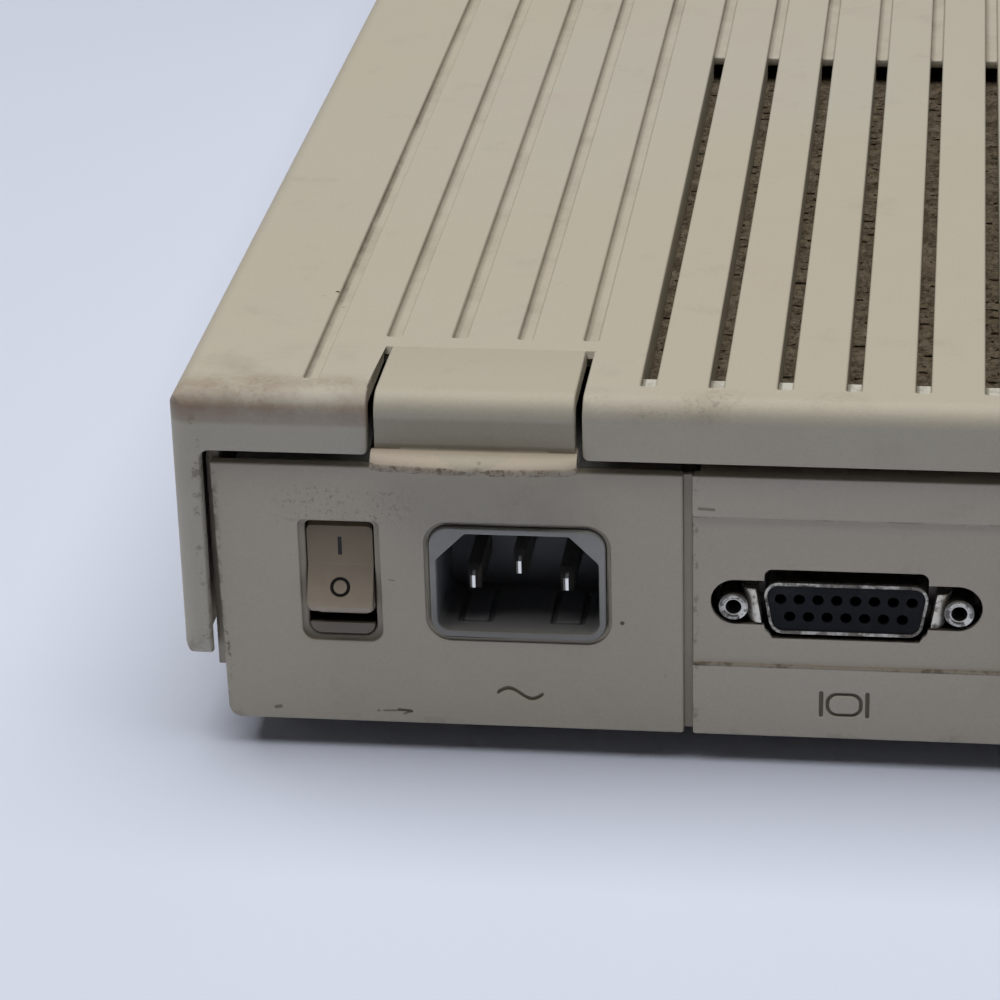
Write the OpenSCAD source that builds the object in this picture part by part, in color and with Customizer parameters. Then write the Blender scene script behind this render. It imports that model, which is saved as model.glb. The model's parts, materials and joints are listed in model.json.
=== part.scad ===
// Low, wide desktop home computer: a plastic base tray with a lift-up vented lid, a power
// supply and a port panel side by side across the rear, a logic board behind the ports, and
// two drives, a fan and a loudspeaker in the front half.
//
// Every piece is drawn in the case's own coordinates: the first runs across the case from the
// power supply's side, the second runs forward from the lid's rear face, and the third runs
// up from the underside of the case. seat_in_frame() then turns the case to face -Y.

/* [Case] */
// Width over the lid
case_w = 310; // [300:1:330]
// Depth from the lid's rear face to the front face
case_d = 381; // [372:1:400]
// Height from the underside to the top of the lid
case_h = 55; // [54:0.5:60]
// Height of the rubber feet below the underside
foot_h = 5; // [3:0.5:8]
// Radius of each rubber foot
foot_r = 8; // [6:0.5:11]
// Distance of each foot's centre from the ends of the case
foot_inset = 34; // [28:1:44]
// Wall of the moulded lid, tray and bezel
wall = 2.5; // [2:0.1:3]
// Radius of the case's upright corners
corner_r = 3; // [2:0.5:5]

/* [Lid] */
// Radius along the lid's top edges
lid_edge_r = 3.4; // [2:0.2:5]
// Radius at the lower ends of the lid's sides
lid_foot_r = 2.2; // [1:0.1:2.4]
// Radius in the upper corners of the opening over the rear panels
opening_r = 1.5; // [0.6:0.1:2]
// How far the lid's sides hang below its top
lid_side_h = 44; // [40:1:46]
// Height of the lid's rear skirt above the rear panels
rear_skirt_h = 9.6; // [8:0.2:10]
// Height of the lid's front skirt above the bezel
front_skirt_h = 11; // [9:0.5:14]
// Width of the lid's strip beside the rear panels
rear_strip_w = 4.4; // [3.6:0.2:5]
// Width of the two tongues that drop behind the bezel and locate the lid
lid_tongue_w = 18; // [12:1:24]

/* [Grooves and vents] */
// Number of parallel grooves across the lid
groove_count = 28; // [20:1:28]
// Centre of the first groove from the lid's side
groove_start = 20.6; // [18:0.2:22]
// Distance from groove to groove
groove_pitch = 10; // [9:0.5:10]
// Width of a groove
groove_w = 2.2; // [1.6:0.1:3]
// Depth of a groove
groove_depth = 0.9; // [0.5:0.1:1.4]
// Distance of a groove's rear end from the rear face
groove_rear = 6.3; // [5:0.1:8]
// Distance of a groove's front end from the front face
groove_front = 22; // [15:1:60]
// First groove that is cut right through as a vent
vent_first = 5; // [5:1:8]
// Number of vents cut right through
vent_count = 18; // [6:1:18]
// Length of each vent
vent_len = 155; // [80:1:180]
// Distance of a vent's rear end from its groove's rear end
vent_setback = 2; // [0:0.1:6]
// Depth of the ribs along each vent, under the lid
vent_rib_h = 3; // [1:0.1:4]
// Thickness of those ribs
vent_rib_t = 1.2; // [0.8:0.1:1.6]
// Thickness of the slotted metal sheet below the vents
shield_t = 0.8; // [0.5:0.1:1.2]
// Distance from slot to slot in that sheet
shield_pitch = 3.2; // [2.6:0.1:5]
// Width of those slots
shield_slot_w = 0.9; // [0.6:0.1:2.2]

/* [Latches] */
// Centre of each latch tongue from the lid's side
latch_inset = 45.6; // [45:0.1:46.4]
// Width of the latch tongue
latch_w = 29.6; // [26:0.2:29.8]
// Slit on each side of the tongue
latch_slit = 1.1; // [0.8:0.1:1.3]
// Length of the tongue on the lid's top
latch_reach = 18.8; // [16:0.2:21]
// How far the finger ledge stands out behind the lid
ledge_out = 4; // [3:0.2:6]
// Thickness of the finger ledge
ledge_t = 2.4; // [2:0.1:3]
// Height of the ledge's underside above the rear panels
ledge_gap = 1.3; // [0.6:0.1:1.8]
// Radius over which the ledge's top rolls down to its front edge
ledge_roll_r = 3; // [2:0.1:3.2]
// How far the ledge thins out towards its ends
ledge_bow = 3; // [1.5:0.1:3.4]
// Radius where the skirt's lower corners meet the slits
slit_corner_r = 1; // [0.4:0.1:1.6]

/* [Base tray] */
// Distance of the tray's upper sides from the lid's outside
side_inset = 4.7; // [4.6:0.1:5]
// Thickness of the tray's sides
side_t = 2; // [1.6:0.1:2.2]
// Distance of the tray's lower sides from the lid's outside
keel_inset = 6.2; // [5.6:0.2:7]
// Height of the tray's lower sides
keel_h = 9.7; // [8:0.1:10.5]
// Clearance under the lid's top and above the tray's sides
side_clear = 5; // [4:0.5:8]

/* [Rear panels] */
// Setback of the rear panels from the lid's rear face
panel_setback = 1.6; // [1:0.1:2.4]
// Depth of the flange along the port panel's top edge
panel_flange = 6; // [3:0.5:8]
// Thickness of the rear panels
panel_t = 2; // [1.6:0.1:2.4]
// Gap between the rear panels and the lid's rear skirt
panel_gap = 2.5; // [2:0.1:4]
// Distance of the rear panels' outer edges from the lid's outside
panel_inset = 5.5; // [5.3:0.1:5.8]
// How far those edges lean in towards the bottom
panel_lean = 0.7; // [0:0.1:1]
// Gap between the power supply and the port panel
divider_gap = 1.4; // [1:0.1:3]
// Radius of the rear panels' lower outer corners
panel_corner_r = 2; // [0.6:0.1:3]

/* [Power supply] */
// Width of the power supply's rear panel
supply_w = 70.5; // [70:0.5:76]
// Depth of the power supply from its rear panel
supply_d = 186; // [170:1:200]
// Wall of the power supply's case
supply_wall = 2; // [1.6:0.1:2.4]
// Gap between the power supply's case and the tray's side
supply_clear = 0.5; // [0.3:0.1:1]
// Thickness of the power supply's metal cover
cover_t = 1; // [0.8:0.1:1.2]
// Thickness of the circuit boards
board_t = 1.6; // [1.2:0.1:2]
// Height of the power supply's board above its floor
supply_post_h = 3.5; // [3:0.5:4]

/* [Mains switch and inlet] */
// Centre of the rocker from the lid's outside
switch_u = 24.5; // [24:0.1:26]
// Height of the rocker's pivot above the underside
switch_w = 25.1; // [24:0.1:26]
// Width of the rocker
rocker_w = 10; // [9:0.1:10.2]
// Radius of the rocker's ends about its pivot
rocker_r = 8.95; // [8.6:0.05:9]
// Angle of the pressed face to the rocker's mid position
rocker_tilt = 12; // [8:1:14]
// Width of the window round the rocker
window_w = 10.4; // [10.3:0.1:11]
// Height of the window round the rocker
window_h = 18.8; // [18.4:0.1:19.4]
// Height of the window's top edge above the rocker's pivot
window_top = 8.3; // [8.3:0.1:9]
// Radius of the window's lower corners
window_r = 2; // [0.8:0.1:2.4]
// Centre of the mains inlet from the lid's outside
inlet_u = 51.3; // [51:0.1:52]
// Height of the inlet's centre above the underside
inlet_w = 24.35; // [24:0.05:25]
// Width of the inlet's cavity
inlet_cavity_w = 24.4; // [24.2:0.1:24.6]
// Height of the inlet's cavity
inlet_cavity_h = 16.1; // [16:0.1:16.9]
// Depth of the inlet's cavity
inlet_depth = 16.5; // [15:0.5:17]
// Rim round the inlet's cavity
inlet_rim = 1; // [0.8:0.1:1.4]
// Distance between the two line blades
blade_pitch = 14; // [14:0.1:14.2]
// Height of the earth blade above the line blades
earth_rise = 2.6; // [2:0.1:4]

/* [Ports] */
// Height of the ports' centres above the underside
port_w = 21.4; // [21:0.1:22.5]
// Height from the logic board to the ports' centres
port_seat = 6.5; // [6.3:0.1:6.8]
// Depth of the shallow band that the ports sit in
band_depth = 0.5; // [0.3:0.1:0.9]
// Lower edge of that band
band_low = 12; // [10:0.5:13]
// Upper edge of that band
band_high = 36.2; // [34:0.2:38]
// Centre of the video port from the lid's outside
video_u = 100.1; // [99.6:0.1:101]
// Jackscrew spacing of the video port
video_spacing = 33.3; // [33.3:0.1:33.4]
// Jackscrew spacing of the external drive port
scsi_spacing = 47.04; // [47:0.02:47.1]
// Radius of the openings for the three round ports
round_hole_r = 6.4; // [6:0.1:6.6]
// Radius of the openings for the two sound jacks
jack_hole_r = 4.2; // [4:0.1:4.6]
// Radius of the sound jacks' bores
jack_bore_r = 1.8; // [1.75:0.05:1.85]
// Width of the expansion cover's opening
expansion_w = 30; // [24:1:34]

/* [Logic board] */
// Distance of the board's front edge behind the power supply's front
board_setback = 5; // [3:0.5:12]
// Side of the processor
processor_side = 24; // [20:1:29]
// Sides of the three square controller chips
controller_side = [28, 20, 24];
// Length and width of each memory chip
memory_chip = [17, 8.6];
// Distance from memory chip to memory chip
memory_pitch = [22, 14];
// Length and height of each memory module
module_size = [90, 19];
// Distance between the two memory modules
module_pitch = 14; // [12:0.5:16]
// Length and width of the expansion slot's socket
slot_socket = [94, 8.6];
// Length of the clock battery
battery_l = 25; // [24:0.5:26]
// Radius of the clock battery
battery_r = 7.2; // [7:0.1:7.4]
// Width of the floppy drive's flat cable
floppy_cable_w = 25; // [20:1:26]
// Width of the hard drive's flat cable
hard_cable_w = 64; // [60:1:66]
// Height of the flat cables' upper bends above the board
cable_peak = 24; // [20:0.5:26]

/* [Drives] */
// Width of each drive
drive_w = 101.6; // [101:0.2:102]
// Length of each drive
drive_l = 146; // [140:1:152]
// Height of each drive
drive_h = 25.4; // [25:0.2:26]
// Height of the drives' undersides above the case's underside
drive_w0 = 13; // [12.4:0.2:16]
// Distance of each drive from the lid's outside
drive_inset = 9.2; // [9:0.1:10]
// Travel of the head carriage
head_travel = 15; // [10:0.5:16]
// Width of the disk slot in the bezel
slot_w = 93; // [92:0.5:95]
// Height of the disk slot in the bezel
slot_h = 5.2; // [4.8:0.1:6]

/* [Fan and loudspeaker] */
// Side of the square fan
fan_size = 40; // [36:1:42]
// Depth of the fan
fan_depth = 15; // [12:1:18]
// Number of fan blades
blade_count = 7; // [5:1:9]
// Radius of the loudspeaker's frame
speaker_r = 28; // [24:1:32]

/* [Hidden] */
$fn = 48;

// Cutters run past the faces they cut by this much.
over = 1;
// Play between pieces that must not rub.
play = 0.3;
// Radial clearance of a shaft in its bearing.
fit = 0.05;

// Where the case stands in the part's frame: the bounding box, ledges included, is centred.
rear_y = (case_d - ledge_out) / 2;

// Levels
ceiling = case_h - wall;
lid_side_low = case_h - lid_side_h;
skirt_low = case_h - rear_skirt_h;
bezel_top = case_h - front_skirt_h;
panel_top = skirt_low - panel_gap;
ledge_low = panel_top + ledge_gap;
side_top = ceiling - side_clear;
panel_in = panel_setback + panel_t;
bezel_back = case_d - wall - 1.5;
tray_front = bezel_back - play;

// Power supply
supply_u = [panel_inset, panel_inset + supply_w];
supply_body_u = [keel_inset + wall + supply_clear, supply_u[1] - supply_clear];
supply_front = panel_in + supply_d;
supply_floor = wall + supply_wall;
supply_board_w = supply_floor + supply_post_h;
supply_board_top = supply_board_w + board_t;
supply_inside_u = [supply_body_u[0] + supply_wall, supply_body_u[1] - supply_wall];
supply_rim = panel_top - cover_t;
supply_mid_u = (supply_inside_u[0] + supply_inside_u[1]) / 2;
supply_posts_u = [supply_inside_u[0] + 6, supply_inside_u[1] - 6];
supply_posts_v = [panel_in + 30, supply_front - supply_wall - 10];

// Power lead, from the supply's side wall to its plug on the logic board
lead_r = 3.5;
lead_w = wall + 24;
lead_v = supply_front - board_setback - 35.7;
plug_half = [9, 6];
plug_v = supply_front - board_setback - 18;

// Mains switch and inlet
pivot_v = panel_setback + 5.8;
pivot_r = 1.2;
rocker_face = pivot_v - panel_setback - 0.8;
rocker_u = [switch_u - rocker_w / 2, switch_u + rocker_w / 2];
mark_depth = 0.15;
switch_wall = 2.2;
switch_depth = 19;
inlet_half = [inlet_cavity_w / 2, inlet_cavity_h / 2];
inlet_lip_v = panel_setback - 0.4;
blade_size = [2, 4];
blade_len = 14;
blade_low = inlet_w - 0.9;

// Port panel and logic board
port_u = [supply_u[1] + divider_gap, case_w - panel_inset];
board_top = port_w - port_seat;
board_w = board_top - board_t;
board_u = [port_u[0] + 3, case_w - 10];
board_v = [panel_in + 6.5, supply_front - board_setback];
board_posts_u = [board_u[0] + 6, (board_u[0] + board_u[1]) / 2, board_u[1] - 6];
board_posts_v = [board_v[0] + 22, board_v[1] - 8];
plug_u = board_u[0] + 45;
lead_u = [supply_body_u[1] - 10, plug_u];

// Rows of parts on the logic board: two counted from the ports, three from its front edge
controller_row_v = board_v[0] + 42;
processor_row_v = board_v[0] + 78;
rom_row_v = board_v[1] - 48;
slot_row_v = board_v[1] - 58.2;
battery_row_v = board_v[1] - 22.5;
module_v = [battery_row_v - module_pitch, battery_row_v];
module_u = [board_u[1] - 8 - module_size[0], board_u[1] - 8];
module_t = 1.3;
memory_u0 = board_u[1] - 23.6 - 3 * memory_pitch[0];
controller_u0 = board_u[0] + 30;
header_half_v = 4;
header_v = board_v[1] - 7;
port_face_v = panel_setback + 0.6;
port_body_v = [panel_in + 0.5, panel_in + 14.5];
dsub_flange_v = [panel_in + 4.4, panel_in + 5.4];
dsub_h = 8.4;
dsub_skin = 0.5;
dsub_corner_r = 2.2;
dsub_slope = 10;
dsub_pitch = 2.77;
dsub_row = 2.84;
jackscrew_r = 2.15;
jackscrew_bore_r = 1.2;
round_port_r = 4.7;
lobe = 3.4;

// Places along the port panel: the ports after the first stand apart by one even gap.
video_end = video_u + video_spacing / 2 + lobe;
ports_width = scsi_spacing + 2 * lobe + 6 * round_hole_r + 4 * jack_hole_r + expansion_w;
port_gap = (port_u[1] - 3 - video_end - ports_width) / 8;
scsi_u = video_end + port_gap + scsi_spacing / 2 + lobe;
round_start = scsi_u + scsi_spacing / 2 + lobe + port_gap + round_hole_r;
round_port_u = [for (i = [0 : 2]) round_start + i * (2 * round_hole_r + port_gap)];
jack_start = round_port_u[2] + round_hole_r + port_gap + jack_hole_r;
jack_u = [jack_start, jack_start + 2 * jack_hole_r + port_gap];
expansion_u = [jack_u[1] + jack_hole_r + port_gap, jack_u[1] + jack_hole_r + port_gap + expansion_w];
expansion_h = [board_top + 0.6, band_high - 2];

// Drives
floppy_u = [drive_inset, drive_inset + drive_w];
hard_u = [case_w - drive_inset - drive_w, case_w - drive_inset];
drive_front = bezel_back - 0.5;
drive_v = [drive_front - drive_l, drive_front];
drive_top = drive_w0 + drive_h;
floppy_skin = 1.2;
slot_mid_w = drive_w0 + 15;
spindle_u = (floppy_u[0] + floppy_u[1]) / 2;
spindle_v = drive_front - 62;
spindle_r = 2;
spindle_base = drive_w0 + floppy_skin;
rotor_r = 23;
carriage_v = [drive_v[0] + 19, drive_v[0] + 40];
rod_r = 1.5;
rod_u = [spindle_u - 16, spindle_u + 16];
rod_w = drive_w0 + 6.5;
screw_u = spindle_u + 27;
screw_w = drive_w0 + 8;
stepper_v = [drive_v[0] + floppy_skin + 1, drive_v[0] + floppy_skin + 15];
stepper_r = 6.6;
screw_end = carriage_v[1] + head_travel + 8;

// Fan and loudspeaker
fan_u = case_w / 2 - 12;
fan_v = supply_front + 16;
fan_w = wall + fan_size / 2 + 1.5;
fan_hub_r = 9;
speaker_u = case_w / 2;
speaker_v = drive_front - 78;

// The mid heights of the lid's two latches across the case.
latch_u = [latch_inset, case_w - latch_inset];

// ------------ shared shapes

module seat_in_frame() {
    translate([case_w / 2, rear_y, foot_h]) rotate([0, 0, 180]) children();
}

// A block between two limits on each axis.
module block(u, v, w) {
    translate([u[0], v[0], w[0]]) cube([u[1] - u[0], v[1] - v[0], w[1] - w[0]]);
}

// An upright block with round vertical corners.
module round_block(u, v, w, r) {
    translate([0, 0, w[0]]) linear_extrude(w[1] - w[0]) round_rect(u, v, r);
}

// A rectangle with round corners between two limits on each axis.
module round_rect(a, b, r) {
    translate([a[0] + r, b[0]]) square([a[1] - a[0] - 2 * r, b[1] - b[0]]);
    translate([a[0], b[0] + r]) square([a[1] - a[0], b[1] - b[0] - 2 * r]);
    for (x = [a[0] + r, a[1] - r], y = [b[0] + r, b[1] - r]) translate([x, y]) circle(r);
}

// A slot with round ends along the second axis.
module slot_shape(a, b, width) {
    translate([a - width / 2, b[0] + width / 2]) square([width, b[1] - b[0] - width]);
    for (y = [b[0] + width / 2, b[1] - width / 2]) translate([a, y]) circle(width / 2);
}

// Extrudes a shape drawn across and up, over a range of depth.
module in_depth(v) {
    translate([0, v[1], 0]) rotate([90, 0, 0]) linear_extrude(v[1] - v[0]) children();
}

// Extrudes a shape drawn in depth and height, over a range across the case.
module across(u) {
    translate([u[0], 0, 0]) rotate([90, 0, 90]) linear_extrude(u[1] - u[0]) children();
}

// Cylinders along the depth, across the case and upright.
module rod_in_depth(u, v, w, r) {
    translate([u, v[0], w]) rotate([-90, 0, 0]) cylinder(r = r, h = v[1] - v[0]);
}

module rod_across(u, v, w, r) {
    translate([u[0], v, w]) rotate([0, 90, 0]) cylinder(r = r, h = u[1] - u[0]);
}

module upright(u, v, w, r) {
    translate([u, v, w[0]]) cylinder(r = r, h = w[1] - w[0]);
}

// The same piece in mirror image at the far side of the case.
module both_sides() {
    children();
    translate([case_w, 0, 0]) mirror([1, 0, 0]) children();
}

// ------------ lid and latches

// The lid's outer form: round upright corners and round top edges on all four sides.
module lid_form() {
    intersection() {
        round_block([0, case_w], [0, case_d], [lid_side_low, case_h], corner_r);
        in_depth([-over, case_d + over]) lid_end_shape(case_w);
        across([-over, case_w + over]) lid_end_shape(case_d);
    }
}

// One upright side of the lid, square on: round at the top and, less so, at the foot.
module lid_end_shape(width) {
    translate([0, lid_side_low + lid_foot_r])
        square([width, case_h - lid_side_low - lid_foot_r - lid_edge_r]);
    translate([lid_edge_r, lid_side_low]) square([width - 2 * lid_edge_r, case_h - lid_side_low]);
    for (x = [lid_edge_r, width - lid_edge_r]) translate([x, case_h - lid_edge_r]) circle(lid_edge_r);
    for (x = [lid_foot_r, width - lid_foot_r]) translate([x, lid_side_low + lid_foot_r]) circle(lid_foot_r);
    translate([lid_foot_r, lid_side_low]) square([width - 2 * lid_foot_r, lid_foot_r]);
}

module lid_inside() {
    block([wall, case_w - wall], [wall, case_d - wall], [-over, ceiling]);
}

module latch_space(extra) {
    for (u = latch_u) {
        half = latch_w / 2 + extra;
        block([u - half, u + half], [-over, latch_reach], [ledge_low - over, case_h + over]);
    }
}

vent_u = [for (i = [vent_first : vent_first + vent_count - 1]) groove_start + i * groove_pitch];
vent_v = [groove_rear + vent_setback, groove_rear + vent_setback + vent_len];

// Grooves that would run into a latch start in front of it.
function behind_latch(i) = min([for (c = latch_u) abs(groove_start + i * groove_pitch - c)])
    < latch_w / 2 + latch_slit + groove_w;

module lid_grooves() {
    for (i = [0 : groove_count - 1]) {
        start = behind_latch(i) ? latch_reach + 4.1 : groove_rear;
        translate([groove_start + i * groove_pitch - groove_w / 2, start])
            square([groove_w, case_d - groove_front - start]);
    }
}

module top_cover() {
    color("#b4ab9c") seat_in_frame() {
        difference() {
            lid_form();
            lid_inside();
            // opening over the rear panels
            in_depth([-over, wall + over])
                round_rect([rear_strip_w, case_w - rear_strip_w], [0, skirt_low], opening_r);
            // room for the bezel at the front
            block([-over, case_w + over], [tray_front, case_d + over], [0, bezel_top]);
            latch_space(latch_slit);
            in_depth([-over, wall + over]) slit_corners();
            translate([0, 0, case_h - groove_depth]) linear_extrude(over + groove_depth) lid_grooves();
            for (u = vent_u) block([u - groove_w / 2, u + groove_w / 2], vent_v, [ceiling - over, case_h]);
        }
        // a rib along each side of each vent
        for (u = vent_u, s = [-1, 1]) translate([u + s * (groove_w + vent_rib_t) / 2, 0, 0])
            block([-vent_rib_t / 2, vent_rib_t / 2], vent_v, [ceiling - vent_rib_h, ceiling]);
        // stiffening ribs under the top, between the vents and the front
        for (v = [vent_v[1] + 8, case_d - groove_front + 6])
            block([wall, case_w - wall], [v, v + 1.5], [ceiling - 2, ceiling]);
        // tongues that locate the front edge behind the bezel
        both_sides() lid_tongue(case_w / 4);
    }
}

// Rounds the skirt's lower corners on both sides of each latch.
module slit_corners() {
    r = slit_corner_r;
    for (u = latch_u, s = [-1, 1]) translate([u + s * (latch_w / 2 + latch_slit), skirt_low])
        difference() {
            square(2 * r, center = true);
            translate([s * r, r]) circle(r);
            translate([s * r, -r]) square(2 * r, center = true);
        }
}

// A metal sheet that hangs on the ribs below the vents, slotted across in three bays.
module vent_shield() {
    sheet_u = [vent_u[0] - 5, vent_u[vent_count - 1] + 5];
    sheet_w = [ceiling - vent_rib_h - shield_t, ceiling - vent_rib_h];
    bay = (sheet_u[1] - sheet_u[0] - 4) / 3;
    rows = floor((vent_len - 4) / shield_pitch);
    color("#6d675d") seat_in_frame() difference() {
        round_block(sheet_u, [vent_v[0] - 1.5, vent_v[1] + 4], sheet_w, 2);
        for (b = [0 : 2], i = [0 : rows - 1])
            block([sheet_u[0] + 4 + b * bay, sheet_u[0] + b * bay + bay],
                [vent_v[0] + 2 + i * shield_pitch, vent_v[0] + 2 + i * shield_pitch + shield_slot_w],
                [sheet_w[0] - over, sheet_w[1] + over]);
    }
}

module lid_tongue(u) {
    tongue_v = case_d - wall;
    block([u - lid_tongue_w / 2, u + lid_tongue_w / 2], [tongue_v - 1.8, tongue_v], [bezel_top - 5, ceiling]);
}

// A tongue bent over the lid's rear edge, with a bowed finger ledge along its foot.
module rear_latch(u) {
    half = latch_w / 2;
    color("#ada394") difference() {
        union() {
            intersection() {
                lid_form();
                block([u - half, u + half], [-over, latch_reach], [ledge_low, case_h + over]);
            }
            finger_ledge(u, half + 0.4);
        }
        difference() {
            lid_inside();
            latch_nose(u);
        }
    }
}

module finger_ledge(u, half) {
    bow_r = (half * half + ledge_bow * ledge_bow) / (2 * ledge_bow);
    intersection() {
        block([u - half, u + half], [-ledge_out, wall], [ledge_low, ledge_low + ledge_t]);
        // a disc whose rim rolls over to a thin front edge
        translate([u, bow_r - ledge_out, ledge_low]) rotate_extrude() {
            flat = bow_r - ledge_roll_r * sin(60);
            square([flat, ledge_t]);
            intersection() {
                square([bow_r, ledge_t]);
                translate([flat, ledge_t - ledge_roll_r]) circle(ledge_roll_r);
            }
        }
    }
}

// The catch's nose inside the tongue: a wedge that points forward.
module latch_nose(u) {
    across([u - 4, u + 4]) polygon([
        [0, ledge_low], [wall + 1.6, ledge_low + 1.6],
        [wall + 1.6, ledge_low + 2.6], [0, ledge_low + 6]
    ]);
}

module rear_latch_right() {
    seat_in_frame() rear_latch(latch_u[1]);
}

module rear_latch_left() {
    seat_in_frame() rear_latch(latch_u[0]);
}

// ------------ base tray, bezel and feet

feet_u = [foot_inset, case_w - foot_inset];
feet_v = [foot_inset, case_d - foot_inset];
foot_socket = 1;

module tray_shell() {
    // floor and keel
    difference() {
        round_block([keel_inset, case_w - keel_inset], [panel_in, tray_front], [0, keel_h], 2);
        block([keel_inset + wall, case_w - keel_inset - wall], [panel_in - over, tray_front - wall],
            [wall, keel_h + over]);
        for (u = feet_u, v = feet_v) upright(u, v, [-over, foot_socket], foot_r);
        intake_slots();
    }
    // upper sides, stepped out over the keel
    both_sides() across([side_inset, side_inset + side_t]) polygon([
        [panel_in, keel_h], [panel_in, side_top], [tray_front, side_top], [tray_front, keel_h]
    ]);
    both_sides() block([side_inset, keel_inset + wall], [panel_in, tray_front], [keel_h - 1.5, keel_h + 1]);
}

module intake_slots() {
    for (i = [-6 : 6]) translate([0, 0, -over]) linear_extrude(wall + 2 * over)
        slot_shape(speaker_u + i * 5, [speaker_v + speaker_r + 8, speaker_v + speaker_r + 34], 2.4);
}

module board_post(u, v) {
    difference() {
        upright(u, v, [wall, board_w], 3.5);
        upright(u, v, [wall + 2, board_w + over], 1.3);
    }
}

// Channels that hold the fan's frame upright on both sides.
module fan_guides() {
    for (s = [-1, 1]) difference() {
        translate([fan_u + s * (fan_size / 2), 0, 0])
            block([-3.5, 3.5], [fan_v - 3, fan_v + fan_depth + 3], [wall, wall + 22]);
        block([fan_u - fan_size / 2 - play, fan_u + fan_size / 2 + play],
            [fan_v - play, fan_v + fan_depth + play], [wall + 1.5, ceiling]);
        block([fan_u - fan_size / 2 + 2, fan_u + fan_size / 2 - 2], [fan_v - 9, fan_v + fan_depth + 9],
            [wall + 1.5, ceiling]);
    }
}

module bottom_case() {
    color("#8f897f") seat_in_frame() {
        tray_shell();
        for (u = board_posts_u, v = board_posts_v) board_post(u, v);
        fan_guides();
    }
}

module rubber_feet() {
    color("#3a3835") seat_in_frame() for (u = feet_u, v = feet_v) difference() {
        union() {
            upright(u, v, [-foot_h + 1, foot_socket], foot_r - play);
            translate([u, v, -foot_h]) cylinder(r1 = foot_r - 1.5, r2 = foot_r - play, h = 1);
        }
        upright(u, v, [-foot_h - over, -foot_h + 1.2], foot_r - 4);
    }
}

// Two rails under each drive.
module drive_carriers() {
    rail_w = [wall, drive_w0];
    color("#7d7a74") seat_in_frame() for (d = [floppy_u, hard_u], u = [d[0] + 3, d[1] - 11])
        across([u, u + 8]) polygon([
            [drive_v[0] + 6, rail_w[0]], [drive_v[0] + 12, rail_w[1]],
            [drive_v[1] - 14, rail_w[1]], [drive_v[1] - 8, rail_w[0]]
        ]);
}

disk_slot_w = [slot_mid_w - slot_h / 2, slot_mid_w + slot_h / 2];
scoop_w = 28;
scoop_r = 14;
scoop_depth = 1.8;
disk_slot_u = [spindle_u - slot_w / 2, spindle_u + slot_w / 2];
led_u = hard_u[0] + 12;
led_size = [6, 2.4];
led_corner_r = 0.6;

module front_bezel() {
    color("#b0a797") seat_in_frame() difference() {
        round_block([0, case_w], [bezel_back - 4, case_d], [0, bezel_top - play], corner_r);
        // open back between the returns
        block([wall, case_w - wall], [bezel_back - 5, case_d - wall], [wall, case_h]);
        // the tray and the lid's sides reach up to the returns
        block([-over, case_w + over], [bezel_back - 5, bezel_back], [-over, case_h]);
        // disk slot and its finger scoop
        block(disk_slot_u, [bezel_back - over, case_d + over], disk_slot_w);
        disk_scoop();
        in_depth([bezel_back, case_d + over]) round_rect([led_u - led_size[0] / 2, led_u + led_size[0] / 2],
            [slot_mid_w - led_size[1] / 2, slot_mid_w + led_size[1] / 2], led_corner_r);
        front_intake();
        front_line();
    }
}

// A shallow hollow across the middle of the slot, where fingers take the disk.
module disk_scoop() {
    rod_across([spindle_u - scoop_w / 2, spindle_u + scoop_w / 2], case_d + scoop_r - scoop_depth, slot_mid_w,
        scoop_r);
}

// Narrow upright slots below the middle of the bezel, where the fan draws its air.
module front_intake() {
    in_depth([case_d - wall - over, case_d + over]) for (i = [-9 : 9])
        slot_shape(case_w / 2 + i * 4.4, [7, 19], 2);
}

// A shallow line across the bezel at the level of the tray's step.
module front_line() {
    block([-over, case_w + over], [case_d - 0.6, case_d + over], [keel_h, keel_h + 0.8]);
}

module power_led() {
    half = led_size / 2 - [fit, fit];
    color("#5f8a4e") seat_in_frame() in_depth([case_d - wall - 1, case_d - 0.4])
        round_rect([led_u - half[0], led_u + half[0]], [slot_mid_w - half[1], slot_mid_w + half[1]],
            led_corner_r - fit);
}

module square_at(a, b, width, height) {
    translate([a - width / 2, b - height / 2]) square([width, height]);
}

// ------------ power supply

module supply_panel_shape() {
    r = panel_corner_r;
    polygon(concat(
        [[supply_u[1], 0], [supply_u[1], panel_top], [supply_u[0], panel_top]],
        [for (a = [0 : 15 : 90]) [supply_u[0] + panel_lean + r - r * cos(a), r - r * sin(a)]]
    ));
}

module inlet_outline(grow) {
    a = [inlet_u - inlet_half[0] - grow, inlet_u + inlet_half[0] + grow];
    b = [inlet_w - inlet_half[1] - grow, inlet_w + inlet_half[1] + grow];
    round_rect(a, b, 2 + grow);
}

// The rocker's window, wider by one value and deeper below by another.
module window_shape(wider, lower, r) {
    u = [switch_u - window_w / 2 - wider, switch_u + window_w / 2 + wider];
    w = [switch_w + window_top - window_h - lower, switch_w + window_top + wider / 2];
    round_rect(u, w, r);
    round_rect(u, [switch_w, w[1]], 0.8);
}

// The inlet's cavity: round lower corners and two large chamfers at the top.
module inlet_cavity_shape() {
    chamfer = 4.4;
    difference() {
        inlet_outline(0);
        for (s = [-1, 1]) translate([inlet_u + s * inlet_half[0], inlet_w + inlet_half[1]])
            polygon([
                [over * s, over], [-chamfer * s, over], [-chamfer * s, 0], [0, -chamfer], [over * s, -chamfer]
            ]);
    }
}

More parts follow.
